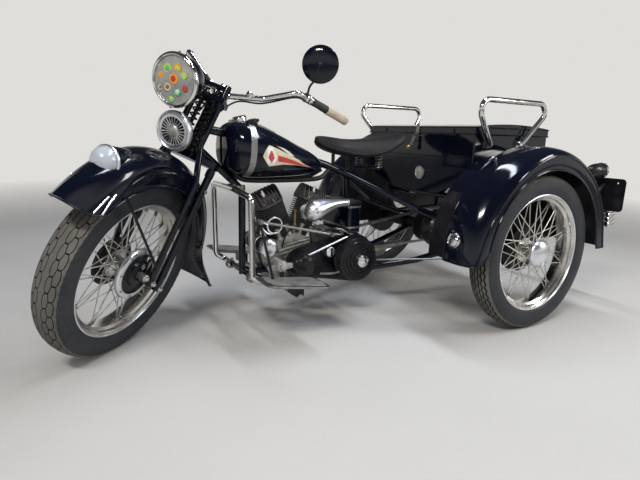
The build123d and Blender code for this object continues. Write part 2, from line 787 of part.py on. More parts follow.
exhaust_side = -128
pipe_radius = 19
muffler_radius = 44
with BuildPart() as exhaust:
    port = -fin_width / 2 - seat_gap
    bent_tube(
        [(948, port, 420), (948, exhaust_side, 420), (975, exhaust_side, 300), (920, exhaust_side, 162),
         (700, exhaust_side - 20, 155), (480, -230, 170)],
        pipe_radius,
        2 * pipe_radius,
    )
    bent_tube(
        [(800, port, 420), (800, exhaust_side, 420), (775, exhaust_side, 260), (740, exhaust_side - 14, 158)],
        pipe_radius - 1,
        2 * pipe_radius,
    )
    muffler_front, muffler_back = Vector(490, -226, 170), Vector(120, -300, 178)
    length = (muffler_back - muffler_front).length
    along = (muffler_back - muffler_front).normalized()
    across = along.cross(Vector(0, 0, 1)).normalized()
    outline = [
        # radius, distance along the muffler
        (0, -12), (pipe_radius, -12), (muffler_radius - 12, 0), (muffler_radius, 24), (muffler_radius, length - 24),
        (muffler_radius - 12, length), (pipe_radius, length + 12), (0, length + 12),
    ]
    with BuildSketch(Plane(origin=muffler_front, x_dir=along.cross(across), z_dir=across)) as section:
        with BuildLine():
            Polyline(*outline, close=True)
        make_face()
    revolve(section.sketch, axis=Axis(muffler_front, along))
    rod(muffler_back, muffler_back + Vector(-160, -30, 4), pipe_radius - 1)

# Primary drive: inner plate, chain and engine sprocket, and the clutch behind them
guard_side = case_half + 44
guard_thickness = 5
primary_line = 150
primary_pitch = 12.7
primary_height = 8
engine_sprocket_radius = 38
engine_pitch_radius = engine_sprocket_radius - 0.5 + primary_height / 2
clutch_pitch_radius = clutch_radius + seat_gap + primary_height / 2
dome_radius = 46
dome_low = primary_line + chain_width / 2 + 1
dome_rise = 23
plug_place = (757, 318)
plug_radius = 18
with BuildPart() as primary_drive:
    with BuildSketch(Plane.XZ.offset(-guard_side)) as section:
        with Locations(crank):
            Circle(62)
        with Locations(clutch_center):
            Circle(clutch_radius + 14)
        make_hull()
        with Locations(clutch_center):
            Circle(30, mode=Mode.SUBTRACT)
    extrude(section.sketch, amount=-guard_thickness)
    rod((crank[0], case_half + seat_gap, crank[1]), (crank[0], primary_line + 20, crank[1]), 20)
    rod(
        (crank[0], primary_line - 8, crank[1]), (crank[0], primary_line + 16, crank[1]), engine_sprocket_radius,
    )
    chain_links(
        primary_line, crank, engine_pitch_radius, clutch_center, clutch_pitch_radius, primary_height, primary_pitch
    )
    # Domed cover over the engine sprocket, and the slotted plug in the inner plate
    dome = [
        # share of the radius, share of the rise
        (1, 0), (1, 0.14), (0.94, 0.4), (0.78, 0.66), (0.54, 0.87), (0.26, 0.98), (0, 1), (0, 0),
    ]
    turn_profile(Vector(crank[0], 0, crank[1]), [(r * dome_radius, dome_low + h * dome_rise) for r, h in dome])
    x, z = plug_place
    rod((x, guard_side + guard_thickness / 2, z), (x, primary_line - 2, z), plug_radius)
    with Locations((x, primary_line - 2, z)):
        Box(5, 8, 1.6 * plug_radius, mode=Mode.SUBTRACT)

with BuildPart() as clutch:
    x, z = clutch_center
    rod((x, case_half + seat_gap, z), (x, primary_line, z), 20)
    rod((x, primary_line - 16, z), (x, primary_line + 46, z), clutch_radius)
    rod((x, primary_line + 46, z), (x, primary_line + 54, z), 62)
    rod((x, primary_line + 54, z), (x, primary_line + 76, z), 27)

with BuildPart() as gearbox:
    x, z = output_shaft
    with BuildSketch(Plane.XZ.offset(case_half)) as section:
        with Locations((x + 44, z + 23)):
            RectangleRounded(148, 168, 26)
    extrude(section.sketch, amount=-2 * case_half)
    rod((x, -case_half, z), (x, chain_line - 8, z), 18)
    with BuildSketch(Plane.XZ.offset(-chain_line - sprocket_half)) as section:
        sprocket(output_shaft, output_teeth, worn_pitch, tooth_angle(output_shaft))
    extrude(section.sketch, amount=2 * sprocket_half)

with BuildPart() as battery_box:
    with BuildSketch(Plane.XY.offset(384 + seat_gap)) as section:
        with Locations((638, 45)):
            RectangleRounded(62, 210, 12)
    extrude(section.sketch, amount=124)

with BuildPart() as drive_chain:
    chain_links(
        chain_line, output_shaft, output_pitch_radius, (0, hub_height), axle_pitch_radius, link_height, worn_pitch
    )
    # The gaps between the rollers, which the sprockets' teeth stand in
    with BuildSketch(Plane.XZ.offset(-chain_line)) as section:
        with Locations(*link_places(drive_line, drive_links)):
            Rectangle(worn_pitch - roller_diameter, link_height + 2)
    extrude(section.sketch, amount=roller_length / 2, both=True, mode=Mode.SUBTRACT)

# Footboards with their brackets
board_tilt = radians(8)
board_length, board_width = 252, 130
board_side = 281
bracket_x = 972
lever_side = 228
rail_skin = cradle_side + tube_radius + seat_gap
with BuildPart() as footboards:
    for side in (-1, 1):
        top = Plane(
            origin=(990, side * board_side, 246),
            x_dir=(cos(board_tilt), 0, sin(board_tilt)),
            z_dir=(-sin(board_tilt), 0, cos(board_tilt)),
        )
        with BuildSketch(top):
            RectangleRounded(board_length, board_width, 30)
        extrude(amount=6)
        rod((bracket_x, side * rail_skin, cradle_height), (bracket_x, side * 300, cradle_height), 10)
        with Locations((bracket_x, side * 265, 222)):
            Box(36, 60, 42)
    # Lever, rod and joint of the foot control on the left
    rod((1100, lever_side, 474), (800, lever_side, 405), 5)
    rod((1100, lever_side, 474), (1060, 262, 250), 7)
    rod((800, lever_side + 8, 405), (800, lever_side - 12, 405), 9)
    rod((1010, 168, 300), (1010, 226, 300), 22)
    rod((1010, 224, 300), (1010, 224, 248), 8)

crash_half = [(1150, 0, 578), (1148, 110, 576), (1122, 200, 555), (1116, 200, 262), (down_x, 190, cross_height),
              (down_x, cross_half + seat_gap, cross_height)]
with BuildPart() as crash_bar:
    for side in (-1, 1):
        bent_tube([(x, side * y, z) for x, y, z in crash_half], rail_tube_radius, 24)
    rod((1090, 0, 575), (1150, 0, 578), 9)
    rod(down_top, (down_x, 0, 560), tube_radius + seat_gap, mode=Mode.SUBTRACT)

# Box: a hollow steel body, with its lid hinged along the front edge
box_rim = box_top + lid_skirt - box_wall - seat_gap
box_profile = [(0, box_floor), (150, box_floor), (300, 593), (box_half_width, 655), (box_half_width, box_rim)]
hinge_center = (box_front + 8, box_top)
hinge_radius = 5
hinge_pin = 2.5
hinge_places = (-230, 230)
knuckle = 20


def wall_profile(outline, wall):
    """The inside of the box's section: its walls moved in by the sheet's thickness."""
    return [(max(y - wall, 0), z + (wall if z < box_top else 1)) for y, z in outline]


def both_sides(half):
    return half + [(-y, z) for y, z in reversed(half) if y > 0]


with BuildPart() as box_body:
    with BuildSketch(Plane.YZ.offset(box_rear)) as section:
        with BuildLine():
            Polyline(*both_sides(box_profile), close=True)
        make_face()
    extrude(section.sketch, amount=box_front - box_rear)
    with BuildSketch(Plane.YZ.offset(box_rear + box_wall)) as section:
        with BuildLine():
            Polyline(*both_sides(wall_profile(box_profile, box_wall)), close=True)
        make_face()
    extrude(section.sketch, amount=box_front - box_rear - 2 * box_wall, mode=Mode.SUBTRACT)
    for y in hinge_places:
        x, z = hinge_center
        for shift in (-knuckle - running_gap, knuckle + running_gap):
            rod((x, y + shift - knuckle / 2, z), (x, y + shift + knuckle / 2, z), hinge_radius)
            with Locations((x - 4, y + shift, z - 14)):
                Box(8, knuckle, 28)
        rod((x, y - knuckle, z), (x, y + knuckle, z), hinge_pin)

lid_low = box_top
lid_high = box_top + lid_skirt
lid_out = lid_clear + box_wall
with BuildPart() as box_lid:
    front, rear = box_front + lid_out, box_rear - lid_out
    for wall, mode in ((0, Mode.ADD), (box_wall, Mode.SUBTRACT)):
        with BuildSketch(Plane.XZ.offset(-box_half_width - lid_out + wall)) as section:
            with BuildLine():
                crown = ThreePointArc(
                    (front - wall, lid_high - wall), ((front + rear) / 2, lid_high + lid_crown - wall),
                    (rear + wall, lid_high - wall),
                )
                low = lid_low - (1 if wall else 0)
                Polyline(crown @ 1, (rear + wall, low), (front - wall, low), crown @ 0)
            make_face()
        extrude(section.sketch, amount=2 * (box_half_width + lid_out - wall), mode=mode)
    for y in hinge_places:
        x, z = hinge_center
        with Locations((x - 2.2, y, z + 12)):
            Box(4.4, knuckle, 24)
        rod((x, y - knuckle / 2, z), (x, y + knuckle / 2, z), hinge_radius)
        rod((x, y - knuckle, z), (x, y + knuckle, z), hinge_pin + running_gap, mode=Mode.SUBTRACT)
        for way in (-1, 1):
            inner, outer = y + way * (knuckle / 2 + 0.1), y + way * (1.5 * knuckle + 1.3)
            rod((x, inner, z), (x, outer, z), hinge_radius + 1, mode=Mode.SUBTRACT)

badge_place = (45, 620)
badge_radius = 29
with BuildPart() as box_badge:
    y, z = badge_place
    rod((box_front + seat_gap, y, z), (box_front + 6, y, z), badge_radius)

# Rear fenders: half arches over the wheels, each with an inner apron against the box
fender_in = box_half_width + seat_gap
fender_out = overall_width / 2
fender_skin = fender_crown_radius + seat_gap
rear_arch = [
    # radius, distance from the middle
    (fender_skirt_radius, fender_out),
    (fender_bead_radius, fender_out),
    (fender_crown_radius - 10, fender_out - 20),
    (fender_crown_radius, fender_out - 75),
    (fender_crown_radius, fender_in + 60),
    (fender_crown_radius - 10, fender_in),
]
apron_low = 300
with BuildPart() as rear_fenders:
    for side in (-1, 1):
        inside = [(r - sheet, w) for r, w in rear_arch]
        inside[0] = (rear_arch[0][0], fender_out - sheet)
        inside[1] = (rear_arch[1][0] - 1, fender_out - sheet)
        inside[-1] = (rear_arch[-1][0] - sheet, fender_in + sheet)
        ring = rear_arch + [(apron_low, fender_in), (apron_low, fender_in + sheet)] + inside[::-1]
        with BuildSketch(arch_plane(axle_center, fender_tail_angle)) as section:
            with BuildLine():
                Polyline(*[(r, side * w) for r, w in ring], close=True)
            make_face()
        revolve(section.sketch, axis=Axis(axle_center, (0, 1, 0)), revolution_arc=fender_tail_angle - fender_nose_angle)

with BuildPart() as grab_rails:
    for side in (-1, 1):
        bent_tube(
            [(122, side * 369, 758), (236, side * 399, 893), (204, side * 399, 937), (-146, side * 399, 937),
             (-180, side * 399, 893), (-77, side * 369, 764)],
            rail_tube_radius,
            26,
        )
        for x, z in ((122, 758), (-77, 764)):
            with Locations((x, side * (box_half_width + seat_gap + 3.5), z)):
                Box(42, 7, 26)

lamp_side = side_reach + 6.5
lamp_height = 660
with BuildPart() as tail_lamps:
    for side in (-1, 1):
        with BuildSketch(Plane.XZ.offset(-side * lamp_side)) as section:
            with BuildLine():
                Polyline((-325, lamp_height), (-330, lamp_height + 10), (-350, lamp_height + 24),
                         (-385, lamp_height + 32), (-430, lamp_height + 32), (-430, lamp_height), close=True)
            make_face()
        revolve(section.sketch, axis=Axis((0, side * lamp_side, lamp_height), (1, 0, 0)))
        foot = Vector(-0.7455, 0, 0.6667)
        start = axle_center + Vector(0, side * lamp_side, 0) + foot * fender_skin
        rod(start, start + foot * 40, 11)

plate_side = fender_out - 89.5
plate_x = -512
plate_center_height = 549
with BuildPart() as plate_bracket:
    with BuildSketch(Plane.YZ.offset(plate_x)) as section:
        with Locations((plate_side, plate_center_height)):
            RectangleRounded(190, 150, 18)
            for y in (-60, 60):
                with Locations((y, 55)):
                    Circle(4, mode=Mode.SUBTRACT)
    extrude(section.sketch, amount=4)
    hub = Vector(0, plate_side, hub_height)
    foot = Vector(plate_x + 5, plate_side, plate_center_height + 39)
    way = (foot - hub).normalized()
    rod(hub + way * fender_skin, foot, 10)

bumper_height = 435
bumper_half = 545
with BuildPart() as bumper:
    for z in (bumper_height - 22, bumper_height, bumper_height + 22):
        bent_tube(
            [(bumper_x + 85, -bumper_half - 17, z), (bumper_x, -bumper_half, z), (bumper_x, bumper_half, z),
             (bumper_x + 85, bumper_half + 17, z)],
            bumper_tube_radius,
            50,
        )
    for side in (-1, 1):
        with Locations((rail_end - 10.5, side * rail_side, bumper_height)):
            Box(20, 40, 60)

with BuildPart() as fender_caps:
    for side in (-1, 1):
        way = arch_plane(axle_center, 10.3).x_dir
        start = axle_center + Vector(0, side * (side_reach - 28.5), 0) + way * fender_skin
        rod(start, start + way * 14, 30)

for piece, name in (
    (front_tyre, "front_tyre"),
    (front_wheel, "front_wheel"),
    (front_axle, "front_axle"),
    (brake_plate, "brake_plate"),
    (fork_rigid, "fork_rigid"),
    (fork_spring, "fork_spring"),
    (fork_springs, "fork_springs"),
    (front_fender, "front_fender"),
    (fender_lamp, "fender_lamp"),
    (headlamp, "headlamp"),
    (horn, "horn"),
    (handlebar, "handlebar"),
    (grips, "grips"),
    (mirror, "mirror"),
):
    finish(piece, name, turned=True)

for piece, name in (
    (rear_tyres["left"], "rear_tyre_left"),
    (rear_tyres["right"], "rear_tyre_right"),
    (rear_wheels["left"], "rear_wheel_left"),
    (rear_wheels["right"], "rear_wheel_right"),
    (rear_axle, "rear_axle"),
    (frame, "frame"),
    (fuel_tanks, "fuel_tanks"),
    (tank_console, "tank_console"),
    (saddle, "saddle"),
    (seat_post, "seat_post"),
    (crankcase, "crankcase"),
    (cylinders, "cylinders"),
    (intake, "intake"),
    (generator, "generator"),
    (exhaust, "exhaust"),
    (primary_drive, "primary_drive"),
    (clutch, "clutch"),
    (gearbox, "gearbox"),
    (battery_box, "battery_box"),
    (drive_chain, "drive_chain"),
    (footboards, "footboards"),
    (crash_bar, "crash_bar"),
    (box_body, "box_body"),
    (box_lid, "box_lid"),
    (box_badge, "box_badge"),
    (rear_fenders, "rear_fenders"),
    (grab_rails, "grab_rails"),
    (tail_lamps, "tail_lamps"),
    (plate_bracket, "plate_bracket"),
    (bumper, "bumper"),
    (fender_caps, "fender_caps"),
):
    finish(piece, name)
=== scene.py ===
"""Visual model of a utility motorcycle trike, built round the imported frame."""
import json
from math import copysign, cos, hypot, pi, radians, sin, sqrt

import bmesh
import bpy
from mathutils import Matrix, Vector


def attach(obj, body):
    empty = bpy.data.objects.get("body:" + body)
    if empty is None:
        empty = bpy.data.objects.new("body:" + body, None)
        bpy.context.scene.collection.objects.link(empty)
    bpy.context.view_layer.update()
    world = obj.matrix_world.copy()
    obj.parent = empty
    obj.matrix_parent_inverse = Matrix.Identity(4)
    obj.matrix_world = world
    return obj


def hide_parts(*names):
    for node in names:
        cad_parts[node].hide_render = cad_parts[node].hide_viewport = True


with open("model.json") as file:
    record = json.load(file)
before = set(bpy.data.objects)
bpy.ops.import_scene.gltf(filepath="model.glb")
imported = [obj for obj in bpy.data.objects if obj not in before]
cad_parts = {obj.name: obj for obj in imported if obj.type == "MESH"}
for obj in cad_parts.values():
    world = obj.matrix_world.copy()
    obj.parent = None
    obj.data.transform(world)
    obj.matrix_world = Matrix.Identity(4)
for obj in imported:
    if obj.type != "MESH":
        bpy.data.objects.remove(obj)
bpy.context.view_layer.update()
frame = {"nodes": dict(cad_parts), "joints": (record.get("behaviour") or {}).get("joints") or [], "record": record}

# Every length below is in millimetres from the rear axle's middle over the floor, as in the CAD source
AXLE_TO_MIDDLE = 596
PLAIN = Matrix.Scale(0.001, 4) @ Matrix.Translation((-AXLE_TO_MIDDLE, 0, 0))
STEER = next(joint for joint in frame["joints"] if joint["name"] == "steering")
LEFT_LOCK = -radians(STEER["range_deg"][0]) / 2
ROOT = Vector(STEER["pos_m"])
STEER_TURN = Matrix.Rotation(LEFT_LOCK, 4, Vector(STEER["axis"]))
# Pieces that steer are given as they stand with the wheel straight
TURNED = Matrix.Translation(ROOT) @ STEER_TURN @ Matrix.Translation(-ROOT) @ PLAIN
STEERED = ("front_end", "front_roller")
RAKE = radians(27.4)
FORK_UP = Vector((-sin(RAKE), 0, cos(RAKE)))
FORK_AHEAD = Vector((cos(RAKE), 0, sin(RAKE)))
FORK_ROOT = PLAIN.inverted() @ ROOT
AHEAD, LEFT, UP = Vector((1, 0, 0)), Vector((0, 1, 0)), Vector((0, 0, 1))
SIDES = (1, -1)


def vec(x, y, z):
    return Vector((x, y, z))


def shift(x, y, z):
    return Matrix.Translation((x, y, z))


def on_fork(ahead, side, up):
    return FORK_ROOT + FORK_AHEAD * ahead + LEFT * side + FORK_UP * up


def polar(radius, turn, y=0.0):
    """A place in the machine's upright plane, turned from straight ahead."""
    return vec(radius * cos(turn), y, radius * sin(turn))


def turns(count, start=0.0):
    return [start + 2 * pi * k / count for k in range(count)]


# Materials
LOOKS, SLOTS, SLOT_LOOKS = {}, {}, {}


def node(tree, kind, **values):
    n = tree.nodes.new(kind)
    for key, value in values.items():
        if key in n.inputs:
            n.inputs[key].default_value = value
        else:
            setattr(n, key, value)
    return n


def noise(tree, scale, detail, grain):
    n = node(tree, "ShaderNodeTexNoise", Scale=scale, Detail=detail, Roughness=grain)
    tree.links.new(node(tree, "ShaderNodeTexCoord").outputs["Object"], n.inputs["Vector"])
    return n.outputs["Fac"]


def ramp(tree, value, low, high, to_low=0.0, to_high=1.0):
    ends = {"From Min": low, "From Max": high, "To Min": to_low, "To Max": to_high}
    n = node(tree, "ShaderNodeMapRange", **ends)
    tree.links.new(value, n.inputs["Value"])
    return n.outputs["Result"]


def paired(tree, operation, a, b):
    """A maths node over two sockets."""
    n = node(tree, "ShaderNodeMath", operation=operation)
    tree.links.new(a, n.inputs[0])
    tree.links.new(b, n.inputs[1])
    return n.outputs[0]


def mix(tree, share, a, b):
    """A colour, or a socket that gives one, mixed with a second colour."""
    n = node(tree, "ShaderNodeMix", data_type="RGBA")
    tree.links.new(share, n.inputs["Factor"])
    n.inputs[7].default_value = (*b, 1)
    if isinstance(a, tuple):
        n.inputs[6].default_value = (*a, 1)
    else:
        tree.links.new(a, n.inputs[6])
    return n.outputs[2]


def emboss(tree, height, strength, distance):
    relief = node(tree, "ShaderNodeBump", Strength=strength, Distance=distance)
    tree.links.new(height, relief.inputs["Height"])
    tree.links.new(relief.outputs["Normal"], tree.nodes["Principled BSDF"].inputs["Normal"])


def surface(name, slot, colour, rough, metal, blotch, dirt=None, bump=None, spread=0.12,
            coat=0.0, gloss=0.5, dust=None):
    """A finish: colour with blotches of a second colour, dirt in patches, uneven gloss and a fine bump.

    Blotches and dirt are (colour, scale, start, end), a bump is (height, scale, detail).
    """
    m = bpy.data.materials.new("look_" + name)
    m.use_nodes = True
    tree = m.node_tree
    shader = tree.nodes["Principled BSDF"].inputs
    levels = {"Metallic": metal, "Coat Weight": coat, "Coat Roughness": 0.05, "Specular IOR Level": gloss}
    for key, value in levels.items():
        shader[key].default_value = value
    tint = colour
    for patches, detail, grain in ((blotch, 6, 0.55), (dirt, 8, 0.7)):
        if patches:
            second, scale, start, end = patches
            tint = mix(tree, ramp(tree, noise(tree, scale, detail, grain), start, end), tint, second)
    if dust:
        # Dust lies on what faces upward
        second, amount = dust
        facing = node(tree, "ShaderNodeSeparateXYZ")
        tree.links.new(node(tree, "ShaderNodeNewGeometry").outputs["Normal"], facing.inputs[0])
        upward = ramp(tree, facing.outputs["Z"], 0.1, 1.0, 0.0, amount)
        share = paired(tree, "MULTIPLY", upward, ramp(tree, noise(tree, 9, 7, 0.7), 0.3, 0.7))
        tint = mix(tree, share, tint, second)
    tree.links.new(tint, shader["Base Color"])
    uneven = ramp(tree, noise(tree, 14, 6, 0.65), 0.3, 0.7, max(0.02, rough - spread), rough + spread)
    tree.links.new(uneven, shader["Roughness"])
    if bump:
        height, scale, detail = bump
        emboss(tree, noise(tree, scale, detail, 0.6), 1.0, height)
    LOOKS[name], SLOTS[name] = m, slot
    SLOT_LOOKS.setdefault(slot, m)
    return m


surface("paint", "black_paint", (0.0016, 0.0026, 0.0078), 0.11, 0, ((0.003, 0.0045, 0.011), 3.0, 0.35, 0.7),
        ((0.018, 0.017, 0.016), 26, 0.68, 0.86), (0.00008, 22, 2), 0.05, 0.2, 0.3,
        ((0.04, 0.038, 0.036), 0.04))
surface("chrome", "chrome", (0.74, 0.74, 0.73), 0.13, 1, ((0.60, 0.59, 0.57), 11, 0.45, 0.75),
        ((0.22, 0.18, 0.14), 60, 0.66, 0.80), (0.00008, 300, 2), 0.09)
surface("tyre_rubber", "tyre", (0.016, 0.018, 0.023), 0.55, 0, ((0.028, 0.029, 0.033), 9, 0.35, 0.72),
        ((0.065, 0.06, 0.053), 30, 0.62, 0.82), (0.0002, 420, 3), 0.1, gloss=0.35)
surface("tread_rubber", "tyre", (0.105, 0.10, 0.088), 0.88, 0, ((0.15, 0.14, 0.122), 12, 0.35, 0.72),
        ((0.05, 0.046, 0.04), 60, 0.58, 0.80), (0.0004, 380, 3), 0.08, gloss=0.3)
# Near black, darker than the tyre's own rubber: painted shade in recesses, used in the tyre's grooves, the horn's
# recess and the plug's slot
surface("recess_shade_black", "tyre", (0.010, 0.010, 0.010), 0.9, 0, ((0.022, 0.02, 0.018), 40, 0.4, 0.7),
        None, (0.0002, 300, 2), gloss=0.1)
surface("leather", "black_leather", (0.0085, 0.008, 0.0075), 0.56, 0,
        ((0.028, 0.022, 0.016), 14, 0.5, 0.75), None, (0.0008, 220, 6), 0.14, gloss=0.18)
surface("ivory", "ivory_grip", (0.60, 0.54, 0.42), 0.42, 0, ((0.48, 0.40, 0.28), 30, 0.45, 0.75),
        ((0.20, 0.16, 0.11), 90, 0.58, 0.80), (0.0002, 300, 3))
surface("alloy", "crankcase_alloy", (0.48, 0.47, 0.45), 0.40, 0.7, ((0.26, 0.25, 0.23), 18, 0.42, 0.70),
        ((0.06, 0.052, 0.045), 32, 0.55, 0.74), (0.0005, 180, 5))
surface("iron", "cylinder_iron", (0.024, 0.023, 0.023), 0.55, 0, ((0.055, 0.05, 0.046), 26, 0.45, 0.75),
        ((0.10, 0.08, 0.06), 60, 0.64, 0.84), (0.0006, 220, 5))
surface("steel", "steel", (0.32, 0.31, 0.295), 0.36, 0.9, ((0.17, 0.16, 0.145), 22, 0.42, 0.7),
        ((0.13, 0.085, 0.05), 50, 0.6, 0.8), (0.0003, 260, 4))
surface("enamel", "black_enamel", (0.008, 0.008, 0.010), 0.34, 0, ((0.024, 0.023, 0.023), 16, 0.48, 0.75),
        ((0.06, 0.052, 0.042), 55, 0.66, 0.84), (0.0003, 160, 4), coat=0.1, gloss=0.22)
surface("rim_chrome", "chrome", (0.66, 0.65, 0.62), 0.2, 1, ((0.45, 0.43, 0.39), 12, 0.42, 0.72),
        ((0.20, 0.14, 0.09), 70, 0.6, 0.8), (0.0001, 260, 3), 0.1)
surface("black_rubber", "black_enamel", (0.02, 0.02, 0.02), 0.6, 0, ((0.045, 0.043, 0.04), 40, 0.45, 0.7),
        None, (0.0002, 240, 3))
surface("brass", "steel", (0.36, 0.25, 0.10), 0.36, 1, ((0.18, 0.13, 0.07), 30, 0.4, 0.7),
        None, (0.0002, 200, 3))
surface("polish", "chrome", (0.84, 0.86, 0.90), 0.30, 1, ((0.72, 0.73, 0.76), 6, 0.4, 0.7),
        ((0.40, 0.39, 0.38), 30, 0.68, 0.82), None, 0.04)
surface("spoke_plate", "chrome", (0.64, 0.62, 0.58), 0.32, 0.6, ((0.44, 0.40, 0.34), 24, 0.45, 0.75),
        None, (0.0001, 260, 3))
surface("red_lens", "black_enamel", (0.38, 0.012, 0.01), 0.12, 0, ((0.25, 0.008, 0.008), 40, 0.4, 0.7),
        coat=1.0)
for name, colour in (
    ("red", (0.46, 0.04, 0.03)), ("cream", (0.60, 0.52, 0.33)), ("white", (0.72, 0.71, 0.67)),
    ("green", (0.10, 0.50, 0.16)), ("lime", (0.46, 0.62, 0.10)), ("orange", (0.78, 0.34, 0.03)),
    ("brown", (0.22, 0.13, 0.06)),
):
    darker = tuple(c * 0.72 for c in colour)
    surface(name, "black_paint", colour, 0.38, 0, (darker, 48, 0.4, 0.7), coat=0.3)

# Pale lamp glass over a bright reflector, with upright flutes
tree = surface("lens_glass", "lamp_glass", (0.36, 0.36, 0.35), 0.2, 0.3, ((0.24, 0.24, 0.23), 22, 0.4, 0.7),
               spread=0.05, coat=0.6).node_tree
wave = node(tree, "ShaderNodeTexWave", Scale=55.0, Distortion=0.0, bands_direction="Y")
tree.links.new(node(tree, "ShaderNodeTexCoord").outputs["Object"], wave.inputs["Vector"])
emboss(tree, wave.outputs["Fac"], 0.7, 0.0012)
surface("frosted", "lamp_glass", (0.42, 0.45, 0.49), 0.22, 0, ((0.33, 0.36, 0.40), 16, 0.4, 0.7), coat=1.0)


# Mesh making: surfaces in millimetres are added to these lists until make() turns them into a piece
points, faces, kinds = [], [], []


def add(new_points, new_faces, finish, place=Matrix()):
    first = len(points)
    points.extend(place @ Vector(p) for p in new_points)
    faces.extend([first + i for i in face] for face in new_faces)
    kinds.extend([finish] * len(new_faces))


def make(name, body, sharp=35, replaces=None):
    matrix = TURNED if body in STEERED else PLAIN
    finishes = list(dict.fromkeys(kinds))
    mesh = bpy.data.meshes.new(name)
    mesh.from_pydata([matrix @ p for p in points], [], faces)
    for finish in finishes:
        mesh.materials.append(LOOKS[finish])
    mesh.polygons.foreach_set("material_index", [finishes.index(finish) for finish in kinds])
    b = bmesh.new()
    b.from_mesh(mesh)
    bmesh.ops.recalc_face_normals(b, faces=b.faces)
    b.to_mesh(mesh)
    b.free()
    mesh.shade_smooth()
    mesh.set_sharp_from_angle(angle=radians(sharp))
    piece = bpy.data.objects.new(name, mesh)
    bpy.context.scene.collection.objects.link(piece)
    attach(piece, body)
    if replaces:
        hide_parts(replaces)
    for items in (points, faces, kinds):
        items.clear()
    return piece


def rings_to_faces(rows, columns, close_rows=False, close_columns=True):
    quads = []
    for i in range(rows if close_rows else rows - 1):
        for j in range(columns if close_columns else columns - 1):
            here, after = i * columns, (i + 1) % rows * columns
            last = (j + 1) % columns
            quads.append((here + j, here + last, after + last, after + j))
    return quads


def frame_at(origin, way, up=None):
    """A matrix whose z runs along way."""
    z = Vector(way).normalized()
    up = Vector(up) if up else (UP if abs(z.z) < 0.9 else AHEAD)
    x = up.cross(z).normalized()
    m = Matrix((x, z.cross(x), z)).transposed().to_4x4()
    m.translation = Vector(origin)
    return m


def lathe(at, way, outline, finish, steps=48, closed=False, flutes=0):
    """Turn an outline of (radius, distance along the axis). Ends at radius 0 close up."""
    m = frame_at(at, way)
    spots = []
    for r, h in outline:
        for turn in turns(steps):
            reach = max(r, 0.01) * (1 - (0.14 * (1 - abs(cos(flutes * turn / 2))) if flutes else 0))
            spots.append(m @ vec(reach * cos(turn), reach * sin(turn), h))
    add(spots, rings_to_faces(len(outline), steps, closed), finish)


def smooth_path(line, per_span=8):
    """A Catmull-Rom line through the points."""
    line = [Vector(p) for p in line]
    if len(line) < 3:
        return line
    padded = [line[0] * 2 - line[1]] + line + [line[-1] * 2 - line[-2]]
    path = []
    for a, b, c, d in zip(padded, padded[1:], padded[2:], padded[3:]):
        for k in range(per_span):
            t = k / per_span
            path.append(0.5 * (2 * b + (c - a) * t + (2 * a - 5 * b + 4 * c - d) * t * t
                               + (3 * b - a - 3 * c + d) * t ** 3))
    path.append(line[-1])
    return path


def rod(line, radius, finish, sides=10, flat=1.0):
    """A bar along a line, its section carried along without twist."""
    line = [Vector(p) for p in line]
    ways = [(b - a).normalized() for a, b in zip(line, line[1:])]
    ways = [ways[0]] + [(a + b).normalized() for a, b in zip(ways, ways[1:])] + [ways[-1]]
    side = ways[0].orthogonal().normalized()
    rows = []
    for at, way in zip(line, ways):
        side = (side - way * side.dot(way)).normalized()
        other = way.cross(side)
        for turn in turns(sides):
            rows.append(at + side * (radius * cos(turn)) + other * (radius * flat * sin(turn)))
    skin = rings_to_faces(len(line), sides)
    skin.append(tuple(range(sides))[::-1])
    skin.append(tuple(range(len(rows) - sides, len(rows))))
    add(rows, skin, finish)


def tube(line, radius, finish, sides=10, flat=1.0):
    """A bar that curves smoothly through the points."""
    rod(smooth_path(line), radius, finish, sides, flat)


def bolt(at, way, radius, height, finish="steel"):
    """A hexagon head with a washer under it."""
    lathe(at, way, [(0, 0), (radius * 1.35, 0), (radius * 1.35, 1.2), (0, 1.2)], finish, 16)
    m = frame_at(at, way)
    spots = []
    for share, z in ((1, 1.2), (1, height * 0.8), (0.8, height)):
        spots += [m @ vec(radius * share * cos(turn), radius * share * sin(turn), z) for turn in turns(6)]
    add(spots, rings_to_faces(3, 6) + [tuple(range(12, 18))], finish)


def bolt_circle(center, circle, count, start, way, radius, height):
    for turn in turns(count, start):
        bolt(center + polar(circle, turn), way, radius, height)


def collar(at, way, inner, outer, half, ease, finish, steps):
    """A ring round a bar, its outer edges eased."""
    lathe(at, way, [(inner, -half), (outer - 1, -half), (outer, ease - half), (outer, half - ease),
                    (outer - 1, half), (inner, half)], finish, steps)


def slab(outline, thickness, finish, place, rise=0.0):
    """A flat plate from an outline in the place's x and y. A rise gives it a shallow point."""
    n = len(outline)
    spots = [vec(x, y, 0) for x, y in outline] + [vec(x, y, thickness) for x, y in outline]
    skin = [(i, (i + 1) % n, n + (i + 1) % n, n + i) for i in range(n)]
    skin.append(tuple(range(n))[::-1])
    if rise:
        middle = sum(spots[n:], Vector()) / n
        spots.append(middle + UP * rise)
        skin += [(n + i, n + (i + 1) % n, 2 * n) for i in range(n)]
    else:
        skin.append(tuple(range(n, 2 * n)))
    add(spots, skin, finish, place)


def block(size, finish, at, place=Matrix()):
    """A box round a middle."""
    x, y, z = (s / 2 for s in size)
    slab([(-x, -y), (x, -y), (x, y), (-x, y)], size[2], finish, place @ shift(*at) @ shift(0, 0, -z))


def rounded(width, height, corner, steps=5):
    """The outline of a rectangle with round corners."""
    spots = []
    for cx, cy, start in ((1, 1, 0), (-1, 1, 90), (-1, -1, 180), (1, -1, 270)):
        for k in range(steps + 1):
            a = radians(start + 90 * k / steps)
            spots.append((cx * (width / 2 - corner) + corner * cos(a),
                          cy * (height / 2 - corner) + corner * sin(a)))
    return spots


